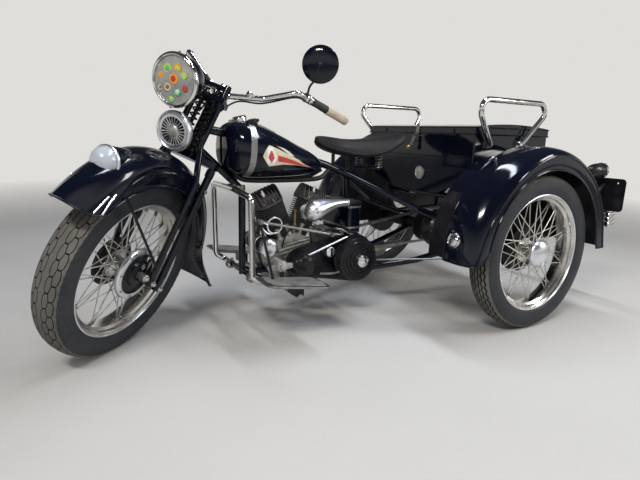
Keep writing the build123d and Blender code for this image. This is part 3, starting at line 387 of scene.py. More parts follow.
def shell(rows, finish):
    """A body from open rows of points, closed between the rows' ends and at both ends."""
    columns = len(rows[0])
    last = (len(rows) - 1) * columns
    skin = rings_to_faces(len(rows), columns, close_columns=False)
    skin += [tuple(range(columns)), tuple(range(last, last + columns))]
    skin += [(a, a + columns, a + 2 * columns - 1, a + columns - 1) for a in range(0, last, columns)]
    add([p for row in rows for p in row], skin, finish)


def both_ways(half):
    """An outline and its mirror image."""
    return half + [(r, -w) for r, w in half[::-1]]


def spline(table, x):
    """A smooth value between rows of (x, value, ...), as a tuple."""
    if x <= table[0][0]:
        return table[0][1:]
    if x >= table[-1][0]:
        return table[-1][1:]
    i = max(k for k in range(len(table) - 1) if table[k][0] <= x)
    before, first, last, after = (table[min(max(k, 0), len(table) - 1)] for k in range(i - 1, i + 3))
    span = last[0] - first[0]
    t = (x - first[0]) / span
    out = []
    for a, b, c, d in zip(before[1:], first[1:], last[1:], after[1:]):
        low = c - b if before is first else (c - a) / (last[0] - before[0]) * span
        high = c - b if after is last else (d - b) / (after[0] - first[0]) * span
        out.append((2 * t**3 - 3 * t**2 + 1) * b + (t**3 - 2 * t**2 + t) * low
                   + (3 * t**2 - 2 * t**3) * c + (t**3 - t**2) * high)
    return tuple(out)


# Wheels
TYRE_RADIUS = HUB_Z = 327
FRONT_HUB = vec(1554, 0, 328.756)
REAR_Y = 533.5
TREAD_HALF = 46
GROOVE_DEPTH = 5.0
ROWS_AT = (17.5, 33.5)
# Distances from the tyre's middle and in from the tread's edge
SHOULDER = [(46.5, 0.6), (48.2, 2.4), (49.6, 6.5), (50.6, 12.5)]
TYRE_SIDE = [
    (50.4, 13.6), (51.3, 20), (52.3, 30), (53, 44), (52.6, 47), (51.9, 48), (51.2, 58), (49, 64),
    (46.5, 67.5), (43, 69.5), (40, 70), (38.5, 72), (36, 75),
]


def crown(w):
    """The tyre's radius at a distance from its middle, over the tread."""
    return TYRE_RADIUS - 13.5 * (abs(w) / TREAD_HALF) ** 2.6


def chain_edge(s):
    """Half width of a row of linked blocks: ovals that meet in short necks."""
    return 3.4 + 5.2 * (1 - abs(2 * (s % 1.0) - 1) ** 3)


def front_grooves(s):
    """The grooves' places across the tread at a place along it, in pitches."""
    inner, outer = ROWS_AT
    near, far = chain_edge(s), chain_edge(s + 0.5)
    return [inner - near, (inner + near + outer - far) / 2, outer + far]


def zigzag(s, size):
    return size * (4 * abs(s % 1.0 - 0.5) - 1)


def rear_grooves(s):
    return [8.0 + zigzag(s, 2.8), 21.5 + zigzag(s + 0.5, 2.9), 35.0 + zigzag(s, 2.6)]


def tyre(name, body, center, grooves, groove_half, pitches, per_pitch, cuts, replaces):
    """A tyre with grooves round its tread.

    Each of two rows of blocks is parted once a pitch, at its step in cuts.
    """
    rows = pitches * per_pitch
    edge = crown(TREAD_HALF)
    marks = []
    for i in range(rows):
        s = i / per_pitch
        places = grooves(s)
        half = [(0, crown(0), "tread_rubber")]
        for k, (a, b) in enumerate(zip([0] + places, places + [TREAD_HALF])):
            start, end = a + (groove_half if k else 0), b - (groove_half if k < 3 else 0)
            row_cut = cuts[k - 1] if cuts and k in (1, 2) else None
            drop = GROOVE_DEPTH * 0.7 if i % per_pitch == row_cut else 0
            cut_here = drop or (i + 1) % per_pitch == row_cut
            # Groove walls and floors, and the faces where blocks are parted, take the near-black finish: painted
            # shade in the grooves
            if k:
                half += [(w, crown(w) - GROOVE_DEPTH, "recess_shade_black")
                         for w in (start - 2 * groove_half + 0.5, start - 0.5)]
                half.append((start, crown(start) - drop, "recess_shade_black"))
            half += [(w, crown(w) - drop, "recess_shade_black" if cut_here else "tread_rubber")
                     for w in ((start + end) / 2, end)]
        notch = 1.6 if (s * 2) % 1.0 < 0.3 else 0
        half += [(w - notch * 0.7, edge - d - notch * 0.3, "tread_rubber" if d < 3 else "tyre_rubber")
                 for w, d in SHOULDER]
        half += [(w, edge - d, "tyre_rubber") for w, d in TYRE_SIDE]
        line = [(-w, r) for w, r, kind in half[:0:-1]] + [(w, r) for w, r, kind in half]
        marks.append([kind for w, r, kind in half[:0:-1] + half[1:]])
        points.extend(polar(r, 2 * pi * i / rows, w) + center for w, r in line)
    columns = len(line)
    for finish in ("tyre_rubber", "tread_rubber", "recess_shade_black"):
        for i in range(rows):
            here, after = i * columns, (i + 1) % rows * columns
            chosen = [(here + j, here + j + 1, after + j + 1, after + j)
                      for j in range(columns - 1) if marks[i][j] == finish]
            faces.extend(chosen)
            kinds.extend([finish] * len(chosen))
    make(name, body, 28, replaces)


RIM_OUTSIDE = [
    (243, 41.5), (245, 39.5), (243.5, 37.2), (239, 35.6), (236, 34), (233, 26), (224, 19), (221, 8),
]
RIM_INSIDE = [(239, -41), (235, -38.5), (231, -35), (229, -28), (219.5, -21), (216, -9)]
FRONT_SPOOL = [(0, 47), (15, 47), (24, 46), (25, 38), (50, 37), (51, 33), (50, 29), (30, 28), (27, 20)]
REAR_CAP = [
    (0, 67), (16, 66.2), (32, 63), (45, 57.5), (54, 50), (57.5, 44), (57.5, 41.5), (51, 40), (50, 29),
    (32, 28),
]
REAR_SPOOL = [(32, 28), (29, 18), (29, -18), (32, -28), (50, -29), (51, -36)]
SPOKES_A_SIDE, SPOKE_LEAD = 20, 62
HUB_HOLES, RIM_HOLES = 44, 220


def wheel(name, body, center, outward, replaces):
    """Rim, crossed spokes with their nipples, and a hub."""
    lathe(center, LEFT, both_ways(RIM_OUTSIDE) + both_ways(RIM_INSIDE), "rim_chrome", 128, closed=True)
    for side in SIDES:
        lip = [(243 + 3.4 * cos(turn), side * 42.4 + 3.4 * sin(turn)) for turn in turns(8)]
        lathe(center, LEFT, lip, "polish", 128, closed=True)
    for side in SIDES:
        for i in range(SPOKES_A_SIDE):
            lead = 1 if i % 2 else -1
            hub_turn = radians(360 / SPOKES_A_SIDE * (i + (0.5 if side > 0 else 0)))
            start = center + polar(HUB_HOLES, hub_turn, side * 33 + lead * 3)
            end = center + polar(RIM_HOLES, hub_turn + radians(SPOKE_LEAD * lead), side * 8)
            way = (end - start).normalized()
            rod([start, end], 2.1, "spoke_plate", 6)
            rod([end - way * 16, end + way * 2], 3.4, "steel", 6)
    if body in STEERED:
        lathe(center, LEFT, both_ways(FRONT_SPOOL), "chrome")
        lathe(center, LEFT, [(51, -37), (86, -40), (90, -44), (90, -49), (84, -49), (20, -47)], "enamel")
    else:
        lathe(center, LEFT * outward, REAR_CAP, "polish")
        lathe(center, LEFT * outward, REAR_SPOOL, "rim_chrome")
        lathe(center, LEFT * outward, [(51, -36), (94, -41), (96, -45), (96, -69), (18, -69)], "enamel")
    make(name, body, 30, replaces)


tyre("front_tyre_tread", "front_roller", FRONT_HUB, front_grooves, 1.1, 40, 20, (0, 10), "front_tyre")
wheel("front_wheel_spoked", "front_roller", FRONT_HUB, 1, "front_wheel")
for label, way in (("left", 1), ("right", -1)):
    hub_at = vec(0, way * REAR_Y, HUB_Z)
    tyre(f"rear_tyre_{label}_tread", f"{label}_roller", hub_at, rear_grooves, 2.7, 64, 8, (),
         f"rear_tyre_{label}")
    wheel(f"rear_wheel_{label}_spoked", f"{label}_roller", hub_at, way, f"rear_wheel_{label}")


# Fenders
def sheet(rows, thickness, finish, inward):
    """A bent sheet from rows of outer points; inward gives each point's way to the inner face."""
    columns = len(rows[0])
    outer = [p for row in rows for p in row]
    n = len(outer)
    skin = rings_to_faces(len(rows), columns, close_columns=False)
    skin += [tuple(n + i for i in face[::-1]) for face in skin]
    last = (len(rows) - 1) * columns
    rims = [(j + end, j + end + 1) for j in range(columns - 1) for end in (0, last)]
    rims += [(a + end, a + columns + end) for a in range(0, last, columns) for end in (0, columns - 1)]
    skin += [(a, b, n + b, n + a) for a, b in rims]
    add(outer + [p + inward(p) * thickness for p in outer], skin, finish)


SHEET_METAL = 2.5
FENDER_AXLE = FRONT_HUB + vec(31, 0, -15)
# Rows of: share from the edge to the crest, radius, half width
FRONT_SECTION = [
    (0.0, 345, 81), (0.06, 350, 78.5), (0.3, 380, 78), (0.5, 408, 73), (0.68, 426, 58), (0.85, 440, 32),
    (1.0, 445, 0),
]
TAIL_SECTION = [
    (0.0, 465, 134), (0.06, 469, 132), (0.3, 488, 131), (0.5, 503, 118), (0.68, 515, 92), (0.85, 525, 48),
    (1.0, 529, 0),
]
NOSE_SECTION = [
    (0.0, 345, 80), (0.06, 348, 79), (0.3, 359, 73), (0.5, 381, 60), (0.68, 404, 44), (0.85, 436, 24),
    (1.0, 455, 0),
]
# Angle, and the bead's distance from the fender's middle
BEAD_AT = [
    (55, 350), (61, 352), (71, 361), (82, 383), (93, 392), (110, 401), (125, 413), (150, 420), (186, 416),
]


def at_radius(row, wanted):
    """The place on the near half of a row of points at a distance from the fender's middle."""
    for a, b in zip(row, row[1:]):
        low, high = (hypot(p.x - FENDER_AXLE.x, p.z - FENDER_AXLE.z) for p in (a, b))
        if low <= wanted < high:
            return a.lerp(b, (wanted - low) / (high - low))
    return row[0]


def to_wheel_inside(middle, share_of):
    """The way to a fender's inner face: toward the wheel's middle, and sideways by a share."""
    def inward(p):
        share = share_of(p)
        flat = vec(middle.x - p.x, 0, middle.z - p.z).normalized()
        return (flat * (1 - share) + LEFT * (share * (-1 if p.y > 0 else 1))).normalized()
    return inward


# Angles round the wheel: where the nose's section ends, where the tail's begins, and the tail's edge
NOSE_UNTIL, TAIL_FROM, TAIL_EDGE = 94, 184, 203
tables = (FRONT_SECTION, TAIL_SECTION, NOSE_SECTION)
sections = [[spline(table, n / 16) for n in range(17)] for table in tables]
rows, beads = [], ([], [])
for k in range(65):
    half = []
    for n, (a, b, c) in enumerate(zip(*sections)):
        # The sides begin behind the crest, so the nose's edge is curved
        first = 52.5 + 9 * (1 - n / 16) ** 1.45
        angle = first + (TAIL_EDGE - first) * k / 64
        tail = max(0.0, (angle - TAIL_FROM) / (TAIL_EDGE - TAIL_FROM)) ** 1.5
        nose = max(0.0, min(1.0, (NOSE_UNTIL - angle) / 38)) ** 1.5
        r, w = (p * (1 - tail - nose) + q * tail + s * nose for p, q, s in zip(a, b, c))
        half.append((r, w, radians(angle)))
        if n == 3:
            wanted = spline(BEAD_AT, angle)[0]
    line = half[:-1] + [(r, -w, turn) for r, w, turn in half[::-1]]
    rows.append([FENDER_AXLE + polar(r, turn, w) for r, w, turn in line])
    beads[0].append(at_radius(rows[-1], wanted))
    beads[1].append(at_radius(rows[-1][::-1], wanted))
sheet(rows, SHEET_METAL, "paint", to_wheel_inside(FENDER_AXLE, lambda p: min(abs(p.y) / 78, 1) ** 3))
for edge in (0, -1):
    rod([row[edge] for row in rows], 3.2, "paint", 8)
for line in beads:
    rod(line, 3.6, "paint")
for row in (rows[0], rows[-1]):
    rod(row, 3.1, "paint", 8)
make("front_fender_skin", "front_end", 50, "front_fender")

# Rows of: share, radius, distance from the middle, how much it drops in front
REAR_SECTION = [
    (0.0, 346, 609.0, 0), (0.06, 352, 607.5, 0), (0.18, 376, 607.5, 0.6), (0.3, 402, 605, 1),
    (0.42, 418, 594, 0.9), (0.56, 428, 572, 0.5), (0.74, 434, 535, 0.1), (0.9, 433.5, 490, 0),
    (1.0, 431, 460, 0),
]
PANEL = [(431, 460), (424, 455.5), (413, 454), (411, 405), (410, 357)]
APRON_LOW, APRON_HIGH, APRON_Y = 118, 410, 356.8
FRONT_ANGLE, BACK_ANGLE = -1, 181


def rear_fender(label, way):
    """A crowned fender over one wheel, a lower panel from it to the box, and an apron along the box."""
    middle = vec(0, 0, HUB_Z)
    crowns, panels, aprons = [], [], []
    for k in range(73):
        row = []
        for n in range(25):
            r, w, share = spline(REAR_SECTION, n / 24)
            first = FRONT_ANGLE + 8 * max(0, 1 - n / 9) ** 1.5
            angle = first + (BACK_ANGLE - first) * k / 72
            drop = 28 * max(0.0, 1 - ((angle - 42) / 45) ** 2) * share
            flare = 14 * max(0.0, (angle - 168) / 13) ** 2
            row.append(middle + polar(r - drop + flare, radians(angle), way * w))
        crowns.append(row)
        turn = radians(FRONT_ANGLE + (BACK_ANGLE - FRONT_ANGLE) * k / 72)
        panels.append([middle + polar(r, turn, way * w) for r, w in PANEL])
        across = (APRON_LOW, (APRON_LOW + APRON_HIGH) / 2, APRON_HIGH)
        aprons.append([middle + polar(r, turn, way * APRON_Y) for r in across])
    inward = to_wheel_inside(middle, lambda p: min(max((abs(p.y) - 560) / 45, 0), 1))
    sheet(crowns, SHEET_METAL, "paint", inward)
    sheet(panels[15:], SHEET_METAL, "paint", inward)
    # The panel's front part is in satin black enamel: painted shade over the fender's inner front
    sheet(panels[:16], SHEET_METAL, "enamel", inward)
    # The apron is a real sheet along the box; its low reach and satin black stand for the deep shade under the
    # box, so it is partly painted shade
    sheet(aprons, SHEET_METAL, "enamel", lambda p: LEFT * way)
    for column, radius, sides in ((0, 4.2, 8), (7, 4.6, 10), (-1, 3.0, 8)):
        rod([row[column] for row in crowns], radius, "paint", sides)
    for row in (crowns[0], crowns[-1]):
        rod(row, 3.2, "paint", 8)
    for angle in (30, 60, 92, 124, 152, 176):
        turn = radians(angle)
        bolt(middle + polar(410, turn, way * 380), polar(1, turn), 5, 4, "enamel")
    make(f"rear_fender_{label}_skin", "chassis", 50, "rear_fenders")


rear_fender("left", 1)
rear_fender("right", -1)

# Tanks, strap and emblem. Rows of: x, lowest, highest, half width, roundness
TANK = [
    (736, 642, 674, 38, 2.0), (758, 632, 690, 62, 2.1), (800, 619, 714, 88, 2.2), (860, 613, 740, 108, 2.3),
    (930, 611, 772, 124, 2.4), (1009, 610, 803, 131, 2.5), (1070, 612, 818, 129, 2.5),
    (1118, 622, 816, 116, 2.5), (1148, 648, 800, 84, 2.3), (1158, 668, 780, 60, 2.1),
]
TANK_SEAM = 12


def tank_point(x, turn, side, grow=0.0):
    """A place on one half tank's skin. The turn runs from 0 at the top seam to pi at the bottom one."""
    low, high, half, power = spline(TANK, x)
    reach, rise, middle = half - TANK_SEAM, (high - low) / 2, (high + low) / 2
    c, s = cos(turn), sin(turn)
    y = TANK_SEAM + (reach + grow) * abs(s) ** (2 / power)
    z = middle + (rise + grow) * copysign(abs(c) ** (2 / power), c)
    # Its widest place is a little below the middle
    return vec(x, side * y, z - 6 * abs(s) ** 2)


TANK_BACK, TANK_FRONT = TANK[0][0], TANK[-1][0]
for side in SIDES:
    places = [TANK_FRONT - (TANK_FRONT - TANK_BACK) * k / 60 for k in range(61)]
    shell([[tank_point(x, pi * j / 28, side) for j in range(29)] for x in places], "paint")
make("fuel_tank_skin", "chassis", 60, "fuel_tanks")

# A strap laid on each tank's skin, with a screw at its upper end. Its corners: distance along x, and lift
STRAP = ((11, 0.44), (11, 2.2), (-11, 2.2), (-11, 0.44))
for side in SIDES:
    rows = []
    for k in range(41):
        x, turn = 1066 + 26 * (k / 40), 0.25 + 2.5 * (k / 40)
        rows += [tank_point(x + dx, turn, side, lift) for dx, lift in STRAP]
    add(rows, rings_to_faces(41, 4, close_columns=False), "steel")
    lathe(tank_point(1066, 0.36, side, 2), (0.1, side * 0.5, 0.8), [(0, 5), (6, 4), (7, 0)], "chrome", 16)
make("tank_strap", "chassis", 50)


def patch_on_tank(side, outline, finish, lift):
    """A flat shape laid on the tank's skin, from an outline of (x, turn)."""
    middle_x, middle_turn = (sum(values) / len(outline) for values in zip(*outline))
    spots = []
    for k in range(5, -1, -1):
        for x, turn in outline:
            at, around = middle_x + (x - middle_x) * k / 5, middle_turn + (turn - middle_turn) * k / 5
            spots.append(tank_point(at, around, side, lift))
    add(spots, rings_to_faces(6, len(outline)), finish)


def fine(outline):
    """The outline with points added along its long sides."""
    out = []
    for (x0, t0), (x1, t1) in zip(outline, outline[1:] + outline[:1]):
        n = max(1, int(hypot(x1 - x0, (t1 - t0) * 80) / 4))
        out += [(x0 + (x1 - x0) * k / n, t0 + (t1 - t0) * k / n) for k in range(n)]
    return out


KITE = [
    (1046, 1.62), (1020, 1.30), (960, 1.40), (890, 1.52), (822, 1.76), (890, 1.74), (960, 1.80), (1020, 1.94),
]
DART = [(985, 1.55), (910, 1.58), (832, 1.73), (910, 1.72), (985, 1.71)]
DISC = [(1012 + 21 * cos(turn), 1.62 + 0.27 * sin(turn)) for turn in turns(28)]
DIAMOND = [(1025, 1.62), (1012, 1.79), (999, 1.62), (1012, 1.45)]
for side in SIDES:
    patch_on_tank(side, fine(KITE), "cream", 0.7)
    patch_on_tank(side, fine(DART), "red", 1.1)
    patch_on_tank(side, DISC, "white", 1.1)
    patch_on_tank(side, fine(DIAMOND), "red", 1.5)
make("tank_emblem", "chassis", 50)

# Console between the tanks, its dial, and the two filler caps
rows = []
for x, half in ((1122, 20), (1090, 26), (1050, 28), (1000, 22), (960, 15), (935, 8)):
    top = spline(TANK, x)[1] + 9
    rows.append([vec(x, y * half, top - 8 * abs(y) ** 3) for y in (-1, -0.8, -0.4, 0, 0.4, 0.8, 1)])
sheet(rows, 12, "steel", lambda p: -UP)
lathe((1086, 0, 832), (0.25, 0, 1), [(0, 6), (24, 5.5), (27, 3), (28, 0), (28, -14)], "chrome", 40)
lathe((1087, 0, 838), (0.25, 0, 1), [(0, 0.6), (22, 0.4), (23, 0)], "enamel", 40)
for y in (-60, 60):
    lathe((1056, y, 811), (0.27, 0.14 if y > 0 else -0.14, 1),
          [(0, 17), (17, 16), (22, 13), (23, 4), (18, 2), (18, -8)], "enamel", 32)
    for turn in turns(10):
        lathe((1056 + 22.5 * cos(turn), y + 22.5 * sin(turn), 817 - 6 * cos(turn)), (0.27, 0, 1),
              [(0, 9), (2.2, 8), (2.2, 0)], "enamel", 8)
make("tank_console_top", "chassis", 40, "tank_console")

# Saddle. Rows of: x, half width, crest, edge, hollow along its middle
SEAT = [
    (347, 30, 806, 802, 0), (355, 90, 806, 797, 4), (370, 130, 803, 787, 8), (405, 152, 795, 763, 12),
    (450, 150, 787, 735, 13), (500, 134, 779, 713, 11), (560, 100, 772, 703, 8), (620, 68, 770, 710, 5),
    (670, 48, 772, 720, 2), (716, 33, 774, 735, 0), (742, 20, 773, 749, 0), (752, 5, 769, 760, 0),
]


def seat_at(step):
    """The x and the section of the seat at a step of 56 from its nose."""
    back, nose = SEAT[0][0], SEAT[-1][0]
    x = nose - (nose - back) * step / 56
    return x, *spline(SEAT, x)


rows = []
for step in range(57):
    x, half, crest, edge, hollow = seat_at(step)
    row = []
    for j in range(-14, 15):
        v = j / 14
        z = edge + (crest - edge) * (1 - abs(v) ** 2.3) - hollow * (1 - v * v) ** 2
        # A low roll runs along each side
        row.append(vec(x, v * half, z + 3.0 * max(0, 1 - abs(abs(v) - 0.86) / 0.08)))
    # The skirt swells a little below the edge and then turns in
    first, last = ([end + vec(0, -way * 4, -15), end + vec(0, way * 1.5, -7)]
                   for end, way in ((row[0], -1), (row[-1], 1)))
    rows.append(first + row + last[::-1])
shell(rows, "leather")
piece = make("saddle_leather", "chassis", 55, "saddle")
soft = piece.modifiers.new("soft", "SUBSURF")
soft.levels = soft.render_levels = 1
for side in SIDES:
    places = [seat_at(step) for step in range(1, 56, 2)]
    tube([(x, side * half * 0.985, edge - 1) for x, half, crest, edge, hollow in places], 3.2, "leather", 8)
for step in range(2, 55, 3):
    x, half, crest, edge, hollow = seat_at(step)
    for side in SIDES:
        lathe((x, side * half, edge - 6), (0, side, 0.1), [(0, 2), (2, 1), (2.6, -1)], "enamel", 10)
make("saddle_trim", "chassis", 50)

# Headlamp with plain dots stuck on its glass
LAMP_FACE = vec(1440, 0, 965)
lathe(LAMP_FACE, AHEAD, [(0, -112), (12, -110.5), (30, -104), (48, -92), (62, -76), (72, -58), (76, -38),
                         (77, -18), (77.5, -14)], "paint", 72)
lathe(LAMP_FACE, AHEAD, [(77, -16), (82, -16), (84.5, -11), (84.5, -5), (82, -1), (78, 1), (74.5, -1),
                         (73.5, -6)], "chrome", 72)
lathe(LAMP_FACE, AHEAD, [(73.5, -6), (50, -1), (25, 2), (0, 3)], "lens_glass", 72)
for z in (-1, 1):
    bolt(LAMP_FACE + vec(-9, 0, z * 84), (0, 0, z), 4, 5)
make("headlamp_shell", "front_end", 40, "headlamp")
for y, z, radius, finish, inner in (
    (10, 46, 15, "orange", "lime"), (42, 28, 11, "lime", None), (-32, 34, 15, "lime", "green"),
    (-56, 2, 11, "orange", None), (2, 6, 17, "orange", "red"), (52, -14, 11, "red", None),
    (-18, -30, 13, "cream", "brown"), (26, -34, 13, "green", "white"), (2, -66, 12, "green", "lime"),
    (-52, -42, 9, "cream", "brown"),
):
    at = LAMP_FACE + vec(3.4 - 9 * (hypot(y, z) / 87) ** 2, y * 0.85, z * 0.85)
    way = (1, -0.1 * y / 82, -0.1 * z / 82)
    lathe(at, way, [(0, 1.0), (radius - 1, 0.9), (radius, -0.5)], finish, 28)
    if inner:
        lathe(at, way, [(0, 1.6), (radius * 0.5, 1.5), (radius * 0.56, 0.8)], inner, 24)
make("headlamp_dots", "front_end", 50)
rod([on_fork(60, 0, 664), on_fork(140, 0, 664)], 8.5, "enamel", 14)
bolt(on_fork(70, 0, 673), FORK_UP, 7, 9)
make("headlamp_bracket", "front_end")

# Horn with a grille of radial bars
HORN_FACE = vec(1402, 0, 796)
lathe(HORN_FACE, AHEAD, [(0, -75), (28, -75), (30, -72), (30, -40), (48, -40), (60, -30), (67, -20), (68, -8),
                         (66, -2), (61, 0), (58, -2), (57, -5), (55, -5), (53, -1), (48, 0), (46, -3),
                         (45, -9)], "polish", 56)
# The recess behind the grille bars is near black: painted shade
lathe(HORN_FACE, AHEAD, [(46, -9), (24, -10), (0, -11)], "recess_shade_black", 56)
for turn in turns(24):
    rod([HORN_FACE + vec(-3, r * cos(turn), r * sin(turn)) for r in (20, 47)], 1.9, "polish", 6)
lathe(HORN_FACE, AHEAD, [(0, 4), (10, 3.4), (18, 1), (22, -3), (22.5, -9)], "alloy", 32)
rod([HORN_FACE + vec(-60, 0, 0), on_fork(88, 0, 447)], 8, "enamel", 12)
rod([on_fork(62.5, 0, 447), on_fork(92, 0, 447)], 8, "enamel", 12)
make("horn_grille", "front_end", 40, "horn")

# Fender lamp: a frosted dome in a chrome ring, on a body that tapers back
MARK = vec(1684, 0, FRONT_HUB.z + 409)
MARK_WAY = vec(1, 0, 0.06).normalized()
lathe(MARK, MARK_WAY, [(0, 46), (11, 44.5), (22, 40), (31, 33), (37.5, 23), (41, 12), (42, 3)], "frosted", 44)
lathe(MARK, MARK_WAY, [(41, 4), (45, 4), (47, 1), (46.5, -5), (43, -8), (41, -10)], "polish", 44)
lathe(MARK, MARK_WAY, [(42, -8), (40, -26), (34, -58), (25, -92), (15, -118), (6, -134), (0, -138)],
      "paint", 44)
make("fender_lamp_body", "front_end", 40, "fender_lamp")

# Fluted grips and their sleeves
BAR_ENDS = [(vec(800, side * 380, 918), vec(1035, side * 245, 995)) for side in SIDES]
BAR_ENDS = [(end, (rise - end).normalized()) for end, rise in BAR_ENDS]
for end, along in BAR_ENDS:
    lathe(end, along, [(0, -8), (12, -7.5), (17.5, -5), (18.4, -1), (17.8, 4), (17.2, 60), (17.8, 112),
                       (18.2, 117), (17, 120), (11.5, 120)], "ivory", 96, flutes=16)
    lathe(end, along, [(11.5, 119), (15.5, 119.5), (15.5, 150), (14.6, 152), (14.6, 188), (15.2, 190),
                       (15.2, 201), (11.2, 202)], "black_rubber", 28)
make("grips_ribbed", "front_end", 30, "grips")

# Mirror on a bent stalk
MIRROR = vec(985, 280, 1111)
MIRROR_WAY = vec(0.96, 0.26, 0.08).normalized()
lathe(MIRROR, MIRROR_WAY, [(0, -9), (64, -9)], "lens_glass")
lathe(MIRROR, MIRROR_WAY, [(64, -9), (67, -9.5), (68.5, -6), (68, 0), (62, 5), (44, 10), (22, 12.5), (0, 13)],
      "paint")
end, along = BAR_ENDS[0]
clamp_at = end + along * 235
collar(clamp_at, along, 11.3, 18, 9, 3, "chrome", 24)
tube([clamp_at + vec(0, 0, 14), clamp_at + vec(4, 2, 45), MIRROR + vec(14, 2, -52), MIRROR + MIRROR_WAY * 13],
     4.2, "enamel")
lathe(MIRROR + MIRROR_WAY * 10, MIRROR_WAY, [(9, 0), (9, 6), (6, 9), (0, 10)], "enamel", 20)
make("mirror_round", "front_end", 40, "mirror")

# Engine
CRANK = vec(873, 0, 271)
LEAN = radians(22.5)
FINS, FIRST_FIN, FIN_PITCH, HEAD_HEIGHT = 15, 116, 8.8, 249


def cylinder_place(way):
    """A matrix whose z runs up one cylinder and whose x runs along the machine."""
    up, along = vec(way * sin(LEAN), 0, cos(LEAN)), vec(cos(LEAN), 0, -way * sin(LEAN))
    m = Matrix((along, LEFT, up)).transposed().to_4x4()
    m.translation = CRANK
    return m


def squircle(width, length, power):
    """An outline between an ellipse and a rectangle."""
    return [(width / 2 * copysign(abs(cos(turn)) ** (2 / power), cos(turn)),
             length / 2 * copysign(abs(sin(turn)) ** (2 / power), sin(turn))) for turn in turns(40)]


for way in (-1, 1):
    place = cylinder_place(way)
    tilt = place.to_3x3()
    up = tilt @ UP
    slab(squircle(84, 92, 3.5), 150, "iron", place @ shift(0, 0, 104.5))
    for i in range(FINS):
        height = FIRST_FIN + i * FIN_PITCH
        width = min(122, 2 * (height * sin(LEAN) / cos(LEAN) - 4))
        slab(squircle(width, 118, 2.8), 2.6, "iron", place @ shift(0, 0, height))
    # Head: a deck plate, ribs across it that rise to a rounded top, and its bolts
    slab(squircle(121, 122, 3.2), 10, "iron", place @ shift(0, 0, HEAD_HEIGHT))
    slab(squircle(96, 100, 3.0), 34, "iron", place @ shift(0, 0, 255), rise=4)
    for k in range(8):
        x = -52.5 + 15 * k
        half = 58 * sqrt(1 - (x / 78) ** 2)
        across = [-half + 2 * half * n / 20 for n in range(21)]
        rib = [(y, 51 * (1 - abs(y / half) ** 3.4) + 6) for y in across]
        upright = Matrix(((0, 0, 1, x - 2.5), (1, 0, 0, 0), (0, 1, 0, 256), (0, 0, 0, 1)))
        slab([(-half, 0)] + rib + [(half, 0)], 5, "iron", place @ upright)
    for turn in turns(8, 0.2):
        bolt(place @ vec(50 * cos(turn), 51 * sin(turn), HEAD_HEIGHT + 10), up, 5.5, 9)
    # Spark plug on the near side of the head
    lathe(place @ vec(14, 30, 292), tilt @ vec(0.1, 0.35, 1),
          [(9, 0), (9, 6), (7, 7), (7, 12), (4.5, 13), (4, 26), (2.5, 27), (0, 27)], "white", 14)
    # Valve covers beside each cylinder, with their springs' caps
    for x in (-22, 22):
        lathe(place @ vec(x, 58, 108), up,
              [(11, 0), (11, 6), (8.5, 8), (8.5, 34), (10, 36), (10, 44), (7, 46), (0, 46)], "alloy", 18)
make("cylinders_finned", "chassis", 40, "cylinders")

for way in (-1, 1):
    place = cylinder_place(way)
    slab(squircle(106, 118, 4), 7, "alloy", place @ shift(0, 0, 101))
    for x, y in ((-46, 52), (46, 52), (-46, -52), (46, -52)):
        bolt(place @ vec(x, y, 108), place.to_3x3() @ UP, 5.5, 8)
# Cooling ribs on the crankcase's left side, and the bolts of its covers
for k in range(7):
    rod([(900 + 9 * k, 60, 236 + 15.5 * k), (832 - 6 * k, 60, 268 + 14.5 * k)], 4.2, "alloy", 8)
bolt_circle(CRANK + vec(0, 59.5, 0), 84, 12, 0, LEFT, 4.5, 6)
bolt_circle(CRANK + vec(0, -93.5, 10), 56, 12, 0, -LEFT, 4.2, 6)
lathe(CRANK + vec(0, -93, 10), -LEFT, [(46, 0), (44, 5), (30, 8), (0, 9)], "alloy", 40)
# Oil lines and the intake's carrier
tube([(800, 64, 300), (812, 92, 360), (830, 96, 420), (846, 100, 470)], 3.6, "enamel", 8)
tube([(930, 62, 330), (926, 84, 380), (900, 90, 420), (880, 96, 452)], 3.6, "enamel", 8)
lathe((846, 104, 452), UP, [(0, 0), (17, 0), (19, 3), (19, 30), (14, 34), (0, 34)], "alloy", 24)
lathe((894, 100, 425), UP, [(0, 0), (9, 0), (9, 8), (6, 10), (6, 52), (9, 54), (9, 64), (0, 64)], "brass", 20)
# Loom and fuel line under the tanks
for side in SIDES:
    tube([(1120, side * 40, 630), (1080, side * 52, 604), (900, side * 54, 600), (760, side * 50, 604),
          (700, side * 30, 634)], 10, "enamel", 12)
for x in (820, 830, 840):
    rod([(x, 92, 440), (x, 92, 478)], 2.6, "chrome", 8)
make("engine_details", "chassis", 40)

# Intake: a bulb that tapers back. Rows of: x, z and radius
INTAKE = [
    (878, 487, 0.5), (872, 487, 20), (862, 487, 32), (848, 487, 40), (834, 488, 41), (814, 492, 38.5),
    (790, 499, 32.5), (760, 506, 24.5), (725, 511, 17), (681, 513, 12.5),
]
line = smooth_path([(x, 150, z) for x, z, r in INTAKE], 6)
RADII = [(k, r) for k, (x, z, r) in enumerate(INTAKE)]
spots = []
for k, at in enumerate(line):
    m = frame_at(at, line[min(k + 1, len(line) - 1)] - line[max(k - 1, 0)])
    r = spline(RADII, k / 6)[0]
    spots += [m @ vec(r * cos(turn), r * sin(turn), 0) for turn in turns(32)]
add(spots, rings_to_faces(len(line), 32) + [tuple(range(len(spots) - 32, len(spots)))], "polish")
lathe((681, 150, 513), -AHEAD, [(12.5, -3), (14.5, -2), (14.5, 3), (12, 5), (0, 5)], "polish", 28)
tube([(838, 128, 488), (836, 100, 484), (834, 64, 470)], 15, "alloy", 16)
lathe((836, 84, 478), (0, -1, -0.4), [(15, -4), (24, -4), (24, 4), (15, 4)], "alloy", 24)
bolt((842, 189.5, 487), LEFT, 4.5, 5, "chrome")
make("intake_horn", "chassis", 45, "intake")

